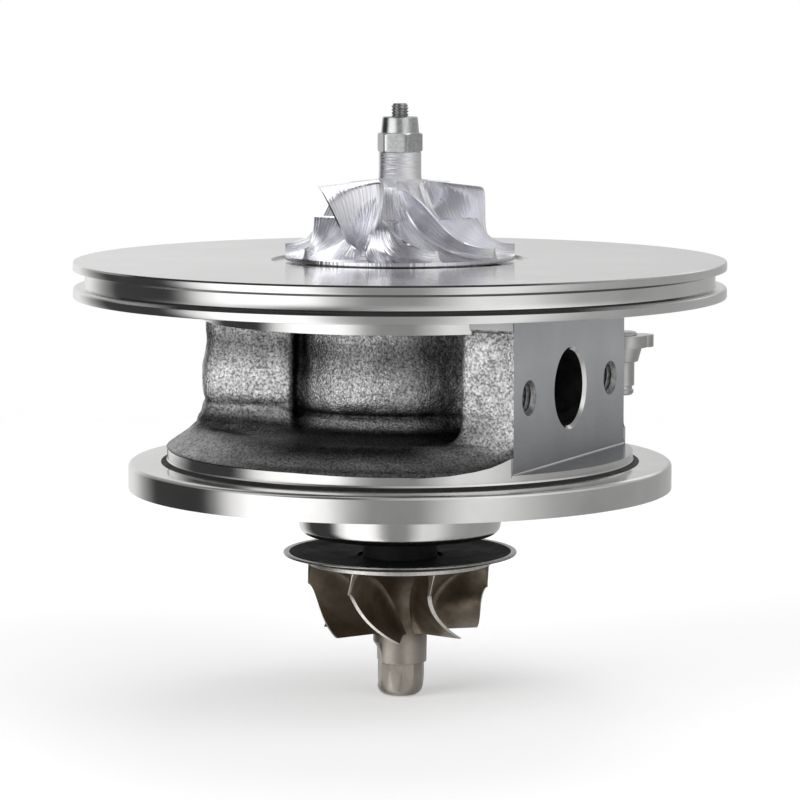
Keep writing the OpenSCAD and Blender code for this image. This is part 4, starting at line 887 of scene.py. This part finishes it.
# Lock nut
# A plated steel nut with a hexagon and a long tapered collar, tightened on the shaft's left-hand thread
# against the wheel's nose. The corners of the hexagon are chamfered.
nut_base, nut_hex_top, nut_top = 64.3, 67.9, 71.0
nut_flat, nut_turn = 3.9, 14.0
nut_angles = np.degrees(np.arange(180) * 2 * math.pi / 180)
hexagon = nut_flat / np.cos(np.radians((nut_angles - nut_turn) % 60.0 - 30.0))
hexagon = -np.log(np.exp(-hexagon * 14) + np.exp(-np.full(180, 4.42) * 14)) / 14
nut_heights, nut_radii = [], []
hexagon_rows = [np.linspace(nut_base, nut_base + 0.4, 6),
                np.linspace(nut_base + 0.5, nut_hex_top - 0.5, 6),
                np.linspace(nut_hex_top - 0.45, nut_hex_top, 7)]
for z in np.concatenate(hexagon_rows):
    cone = min(4.05 + (z - nut_base) * 1.4, 4.0 + (nut_hex_top - z) * 1.4)
    nut_heights.append(z)
    nut_radii.append(np.minimum(hexagon, cone))
collar_rows = [(nut_hex_top, 3.72), (nut_hex_top + 0.1, 3.66), (nut_top - 0.5, 3.42), (nut_top - 0.2, 3.36),
               (nut_top - 0.05, 3.24), (nut_top, 3.05), (nut_top, 1.85), (nut_top - 0.2, 1.67),
               (nut_base, 1.67)]
for z, r in collar_rows:
    nut_heights.append(z)
    nut_radii.append(np.full(180, r))
nut_mesh = ring_stack("lock_nut_piece", np.array(nut_heights), np.array(nut_radii), loop=True)
creased(nut_mesh, 24)
plated_steel, tree, shader, place = new_finish("plated_steel", metallic=1.0)
plate_grain = grain(tree, place, 0.0006, 2.0)
tone(tree, shader, "Base Color", plate_grain, [(0.3, (0.58, 0.6, 0.6)), (0.7, (0.72, 0.73, 0.73))])
tone(tree, shader, "Roughness", plate_grain, [(0.3, 0.14), (0.7, 0.24)])
relief(tree, shader, (plate_grain, 0.00001, 0.15))
nut = placed("lock_nut_piece", nut_mesh, plated_steel)
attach(nut, "rotor")
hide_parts("lock_nut")

# Turbine wheel
# Cast to size in heat-proof nickel alloy and left brown from the mould, with blade tips and rim ground
# bright. Below a turned seam the hub has twelve flats that hold the rotor for tightening, and a flat ground
# away for balance.
turb_back, turb_disc, turb_out, turb_seam, turb_end = -14.1, -14.9, -28.3, -34.3, -40.8
turb_radius, turb_hub_radius, turb_outlet_radius, turb_inlet_height = 17.9, 5.2, 15.2, 4.0
turb_blade_angle, turb_wrap, turb_lean = -94.7, 28.5, 3.0


def turb_hub(m):
    return np.array([turb_hub_radius + (turb_radius - turb_hub_radius) * (1 - math.sin(math.pi / 2 * m)),
                     turb_disc - (turb_disc - turb_out) * (1 - math.cos(math.pi / 2 * m))])


def turb_shroud(m):
    spread = (1 - math.sin(math.pi / 2 * m)) ** 0.7
    fall = turb_disc - turb_inlet_height - turb_out
    return np.array([turb_outlet_radius + (turb_radius - turb_outlet_radius) * spread,
                     turb_disc - turb_inlet_height - fall * (1 - math.cos(math.pi / 2 * m))])


def turb_sweep(m, u):
    return turb_blade_angle + turb_wrap * m ** 3.8 - turb_lean * u * (1 - m)


turb_turns = np.arange(180) * 2.0
flats = 4.5 / np.cos(np.radians(turb_turns % 30.0 - 15.0))
scar = 4.0 / np.maximum(np.cos(np.radians(turb_turns + 145.0)), 0.05)
turb_heights, turb_radii = [], []
drive_rows = [(turb_end, 2.6), (turb_end + 0.12, 3.3), (turb_end + 0.4, 3.75), (turb_end + 0.9, 4.15),
              (turb_end + 1.6, 4.4), (turb_end + 2.6, 4.55), (turb_end + 4.0, 4.66), (turb_end + 5.4, 4.74),
              (turb_end + 5.9, 4.8), (turb_seam - 0.25, 4.82), (turb_seam - 0.2, 4.66), (turb_seam, 4.66)]
for z, r in drive_rows:
    blend = min(max((z - turb_end - 0.6) / 1.8, 0.0), 1.0)
    turb_heights.append(z)
    turb_radii.append(np.minimum(np.full(180, r), flats + (1 - blend) * 0.6))
plain_rows = [(turb_seam, 5.05), (turb_seam + 0.15, 5.14), (turb_seam + 2.0, 5.15), (turb_out - 2.0, 5.2),
              (turb_out - 0.6, 5.22)]
plain_rows += [tuple(turb_hub(m)[::-1]) for m in np.linspace(0.97, 0.03, 36)]
plain_rows += [(turb_disc, 17.86), (turb_disc + 0.05, 17.9), (turb_back - 0.1, 17.9), (turb_back, 17.8),
               (turb_back, 7.2), (-11.5, 7.2)]
for z, r in plain_rows:
    turb_heights.append(z)
    turb_radii.append(np.full(180, r))
for row, z in enumerate(turb_heights):
    if -38.5 < z < -31.0:
        turb_radii[row] = np.minimum(turb_radii[row], scar)
turb_hub_mesh = ring_stack("turbine_hub", np.array(turb_heights), np.array(turb_radii))
creased(turb_hub_mesh, 20)
cast_alloy, tree, shader, place = new_finish("cast_alloy", metallic=0.75)
bake = grain(tree, place, 0.005, 3.0)
pitted = grain(tree, place, 0.0005, 2.0)
brown = shades(tree, bake, [(0.3, (0.1, 0.076, 0.053)), (0.5, (0.17, 0.137, 0.099)),
                            (0.7, (0.26, 0.22, 0.172))])
pale = shades(tree, bake, [(0.3, (0.36, 0.32, 0.27)), (0.7, (0.5, 0.46, 0.41))])
below = by_height(tree, place, -0.027, -0.0315)
tree.links.new(mixed(tree, below, brown, pale), shader.inputs["Base Color"])
tone(tree, shader, "Roughness", pitted, [(0.3, 0.34), (0.7, 0.48)])
relief(tree, shader, (bake, 0.0002, 0.2), (pitted, 0.00005, 0.35))
ground_tip, tree, shader, place = new_finish("ground_tip", metallic=0.9, roughness=0.4)
wheel_mark = grain(tree, place, 0.0006, 2.0)
tone(tree, shader, "Base Color", wheel_mark, [(0.3, (0.68, 0.65, 0.6)), (0.7, (0.85, 0.83, 0.8))])
relief(tree, shader, (wheel_mark, 0.00002, 0.2))
turb_hub_piece = placed("turbine_hub", turb_hub_mesh, cast_alloy, painted_shade_black, ground_tip)
# Painted shade: the back face of the wheel, in shade under the heat shield, takes the near-black finish; the
# rim faces are ground bright.
for face in turb_hub_mesh.polygons:
    if face.center.z * 1000 > turb_back - 0.05:
        face.material_index = 1
    elif math.hypot(face.center.x, face.center.y) > 0.0177:
        face.material_index = 2
turb_blade = lofted_blade("turbine_blade", turb_hub, turb_shroud, turb_sweep, 0.0, -0.08, 0.8, 1.5,
                          turb_radius)
turb_blades = set_round("turbine_blades", turb_blade, 7, 0.0, cast_alloy, ground_tip)
for piece in (turb_hub_piece, turb_blades):
    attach(piece, "rotor")
    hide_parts("turbine_wheel")

# Heat shield
# A dished pressing of thin stainless sheet, loose between the nose and the turbine wheel: a flat floor with a
# hole for the shaft, a sloping wall and a rolled lip. All of it but the lip is painted black as shade.
shield_loop = [
    (-14.0, 8.3), (-14.0, 18.8), (-13.95, 19.3), (-13.3, 21.55), (-13.21, 22.0), (-13.2, 22.25),
    (-13.15, 22.43), (-13.05, 22.53), (-12.95, 22.55), (-12.83, 22.52), (-12.74, 22.42), (-12.7, 22.2),
    (-12.72, 21.8), (-12.8, 21.45), (-13.4, 19.3), (-13.5, 18.8), (-13.5, 8.3),
]
shield_mesh = turned_skin("heat_shield_piece", shield_loop, 160, loop=True)
creased(shield_mesh, 50)
# Painted shade: the floor and wall, which lie in shade under the nose, take the black finish; the lip keeps
# the bright steel.
for face in shield_mesh.polygons:
    if face.center.z < -0.01298 or math.hypot(face.center.x, face.center.y) < 0.0215:
        face.material_index = 1
pressed_steel, tree, shader, place = new_finish("pressed_steel", metallic=1.0)
rub = grain(tree, place, 0.0015, 3.0, (1.0, 1.0, 4.0))
tone(tree, shader, "Base Color", rub, [(0.3, (0.42, 0.42, 0.41)), (0.7, (0.66, 0.65, 0.63))])
tone(tree, shader, "Roughness", rub, [(0.3, 0.2), (0.7, 0.38)])
relief(tree, shader, (rub, 0.00003, 0.3))
# Painted shade: a near-black, dull sheet finish standing for the shade inside the dish.
shade_black_steel, tree, shader, place = new_finish("shade_black_steel")
painted_shade_tone = grain(tree, place, 0.003, 3.0)
tone(tree, shader, "Base Color", painted_shade_tone, [(0.3, 0.004), (0.75, 0.014)])
tone(tree, shader, "Roughness", painted_shade_tone, [(0.3, 0.6), (0.7, 0.8)])
relief(tree, shader, (painted_shade_tone, 0.00005, 0.3))
shield = placed("heat_shield_piece", shield_mesh, pressed_steel, shade_black_steel)
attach(shield, "shield")
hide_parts("heat_shield")

# Nozzle lever
# The arm that the actuator pulls, with its stepped pin, pressed and riveted on the lever shaft, and the crank
# and finger that turn the nozzle ring on the turbine side. Forged and machined steel with broken edges;
# the shaft is painted black as the shade under the arm.
satin_steel, tree, shader, place = new_finish("satin_steel", metallic=1.0)
satin = grain(tree, place, 0.001, 3.0)
shade_of = grain(tree, place, 0.006, 2.0)
tone(tree, shader, "Base Color", shade_of, [(0.3, (0.5, 0.5, 0.49)), (0.7, (0.66, 0.66, 0.65))])
tone(tree, shader, "Roughness", satin, [(0.3, 0.28), (0.7, 0.44)])
relief(tree, shader, (satin, 0.00003, 0.35))
lever_edges = [("lever_arm", 0.45), ("lever_pin", 0.15), ("lever_shaft", 0.3), ("inner_crank", 0.4),
               ("crank_finger", 0.3)]
for name, edge in lever_edges:
    forged = bmesh.new()
    forged.from_mesh(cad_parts[name].data)
    bmesh.ops.remove_doubles(forged, verts=forged.verts, dist=2e-6)
    bmesh.ops.dissolve_limit(forged, angle_limit=math.radians(0.5), verts=forged.verts, edges=forged.edges)
    lever_mesh = bpy.data.meshes.new(name + "_piece")
    forged.to_mesh(lever_mesh)
    forged.free()
    lever_piece = placed(name + "_piece", lever_mesh)
    broken = lever_piece.modifiers.new("broken_edges", "BEVEL")
    broken.width = edge * 0.001
    broken.segments = 3
    broken.limit_method = "ANGLE"
    broken.angle_limit = math.radians(40)
    broken.use_clamp_overlap = True
    shaped = lever_piece.evaluated_get(bpy.context.evaluated_depsgraph_get())
    plain = bpy.data.meshes.new_from_object(shaped)
    lever_piece.modifiers.remove(broken)
    lever_piece.data = plain
    if "custom_normal" in plain.attributes:
        plain.attributes.remove(plain.attributes["custom_normal"])
    creased(plain, 35)
    plain.materials.clear()
    # Painted shade: the lever shaft, in shade under the arm, takes the near-black finish.
    plain.materials.append(painted_shade_black if name == "lever_shaft" else satin_steel)
    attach(lever_piece, "lever")
    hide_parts(name)

# Floor, light and camera
# A pale round table that fades into a white room. The room is a studio: a bright screen to the left of the
# camera with a dark card beyond it, grey behind the camera, and a white backdrop.
floor_mesh = bpy.data.meshes.new("floor")
rim = [(0.6 * math.cos(a), 0.6 * math.sin(a), -0.0409) for a in np.linspace(0, 2 * math.pi, 97)[:-1]]
floor_mesh.from_pydata(rim, [], [tuple(range(96))])
floor = placed("floor", floor_mesh)
pale_table, tree, shader, place = new_finish("pale_table")
shader.inputs["Base Color"].default_value = (0.9, 0.9, 0.9, 1.0)
shader.inputs["Roughness"].default_value = 0.9
shader.inputs["Specular IOR Level"].default_value = 0.0
far = tree.nodes.new("ShaderNodeVectorMath")
far.operation = "LENGTH"
tree.links.new(place, far.inputs[0])
fade = tree.nodes.new("ShaderNodeMapRange")
fade.inputs["From Min"].default_value = 0.22
fade.inputs["From Max"].default_value = 0.55
fade.inputs["To Min"].default_value = 1.0
fade.inputs["To Max"].default_value = 0.0
tree.links.new(far.outputs["Value"], fade.inputs["Value"])
tree.links.new(fade.outputs["Result"], shader.inputs["Alpha"])
shader.inputs["Emission Color"].default_value = (1.0, 1.0, 1.0, 1.0)
shader.inputs["Emission Strength"].default_value = 0.28
dim = tree.nodes.new("ShaderNodeBsdfDiffuse")
dim.inputs["Color"].default_value = (0.2, 0.2, 0.2, 1.0)
eye = tree.nodes.new("ShaderNodeLightPath")
pick = tree.nodes.new("ShaderNodeMixShader")
tree.links.new(eye.outputs["Is Camera Ray"], pick.inputs["Fac"])
tree.links.new(dim.outputs[0], pick.inputs[1])
tree.links.new(shader.outputs[0], pick.inputs[2])
tree.links.new(pick.outputs[0], tree.nodes["Material Output"].inputs["Surface"])
floor_mesh.materials.append(pale_table)
floor.visible_glossy = False

room = bpy.data.worlds.new("studio")
bpy.context.scene.world = room
room.use_nodes = True
sky = room.node_tree
sky.nodes.clear()
look = math.radians(25.0)
toward, right = (math.sin(look), -math.cos(look), 0.0), (math.cos(look), math.sin(look), 0.0)
direction = sky.nodes.new("ShaderNodeTexCoord").outputs["Generated"]
dots = []
for axis in (right, toward, (0.0, 0.0, 1.0)):
    dot = sky.nodes.new("ShaderNodeVectorMath")
    dot.operation = "DOT_PRODUCT"
    dot.inputs[1].default_value = axis
    sky.links.new(direction, dot.inputs[0])
    dots.append(dot.outputs["Value"])
round_about = sky.nodes.new("ShaderNodeMath")
round_about.operation = "ARCTAN2"
sky.links.new(dots[0], round_about.inputs[0])
sky.links.new(dots[1], round_about.inputs[1])
place_round = sky.nodes.new("ShaderNodeMapRange")
place_round.inputs["From Min"].default_value = -math.pi
place_round.inputs["From Max"].default_value = math.pi
sky.links.new(round_about.outputs[0], place_round.inputs["Value"])
walls = [(-180, 0.82), (-165, 1.0), (-152, 1.05), (-144, 0.8), (-135, 0.4), (-124, 0.06), (-89, 0.05),
         (-83, 0.3), (-75, 1.1), (-64, 1.65), (-42, 1.75), (-30, 1.45), (-20, 0.62), (-11, 0.35), (8, 0.36),
         (17, 0.68), (27, 1.05), (42, 1.02), (54, 0.75), (68, 0.5), (90, 0.4), (115, 0.43), (150, 0.5),
         (164, 0.56), (172, 0.7), (180, 0.82)]
wall_shade = shades(sky, place_round.outputs["Result"], [((a + 180) / 360, v) for a, v in walls])
lofts = [(-180, 1.3), (-162, 0.5), (-130, 0.35), (-106, 0.25), (-86, 0.6), (-68, 0.8), (-54, 0.4),
         (-38, 0.1), (-22, 0.18), (-6, 0.5), (12, 0.75), (28, 1.05), (44, 1.25), (60, 1.15), (78, 0.9),
         (100, 0.7), (122, 0.5), (145, 0.9), (165, 1.4), (180, 1.3)]
loft_shade = shades(sky, place_round.outputs["Result"], [((a + 180) / 360, v) for a, v in lofts])
above = sky.nodes.new("ShaderNodeRGB")
above.outputs[0].default_value = (0.1, 0.1, 0.12, 1.0)
lifts = []
for low_end, high_end in [(0.2, 0.42), (0.88, 0.98)]:
    lift_share = sky.nodes.new("ShaderNodeMapRange")
    lift_share.interpolation_type = "SMOOTHSTEP"
    lift_share.inputs["From Min"].default_value = low_end
    lift_share.inputs["From Max"].default_value = high_end
    sky.links.new(dots[2], lift_share.inputs["Value"])
    lifts.append(lift_share.outputs["Result"])
studio_shade = mixed(sky, lifts[1], mixed(sky, lifts[0], wall_shade, loft_shade), above.outputs[0])
lit = sky.nodes.new("ShaderNodeBackground")
sky.links.new(studio_shade, lit.inputs["Color"])
lit.inputs["Strength"].default_value = 0.85
white = sky.nodes.new("ShaderNodeBackground")
white.inputs["Color"].default_value = (1.0, 1.0, 1.0, 1.0)
seen = sky.nodes.new("ShaderNodeLightPath")
choose = sky.nodes.new("ShaderNodeMixShader")
sky.links.new(seen.outputs["Is Camera Ray"], choose.inputs["Fac"])
sky.links.new(lit.outputs[0], choose.inputs[1])
sky.links.new(white.outputs[0], choose.inputs[2])
out = sky.nodes.new("ShaderNodeOutputWorld")
sky.links.new(choose.outputs[0], out.inputs["Surface"])

middle = Vector((0.0, 0.0, 0.01652))
lamps = [("left_screen", -52, 20, 0.75, 0.5, 3.0), ("right_fill", 62, 34, 0.8, 0.5, 1.1),
         ("top_light", 170, 66, 0.8, 0.6, 1.3)]
for name, turn, lift, reach, size, power in lamps:
    lamp_data = bpy.data.lights.new(name, "AREA")
    lamp_data.shape = "SQUARE"
    lamp_data.size = size
    lamp_data.energy = power
    lamp = bpy.data.objects.new(name, lamp_data)
    lamp.visible_glossy = name == "top_light"
    bpy.context.scene.collection.objects.link(lamp)
    a, e = math.radians(turn), math.radians(lift)
    level_way = Vector(toward) * math.cos(a) + Vector(right) * math.sin(a)
    out_way = level_way * math.cos(e) + Vector((0, 0, math.sin(e)))
    lamp.location = middle + out_way * reach
    lamp.rotation_mode = "QUATERNION"
    lamp.rotation_quaternion = out_way.to_track_quat("Z", "Y")

camera_data = bpy.data.cameras.new("camera")
camera = bpy.data.objects.new("camera", camera_data)
bpy.context.scene.collection.objects.link(camera)
pitch, sight = 0.113, math.radians(25.5)
back_way = Vector((math.sin(sight), -math.cos(sight), 0)) * math.cos(pitch) + Vector((0, 0, math.sin(pitch)))
camera.location = middle + back_way * 0.7192
camera.rotation_mode = "QUATERNION"
camera.rotation_quaternion = back_way.to_track_quat("Z", "Y")
camera_data.sensor_width = 36.0
camera_data.lens = 168.14
camera_data.clip_start = 0.02
bpy.context.scene.camera = camera
bpy.context.scene.view_settings.view_transform = "Standard"
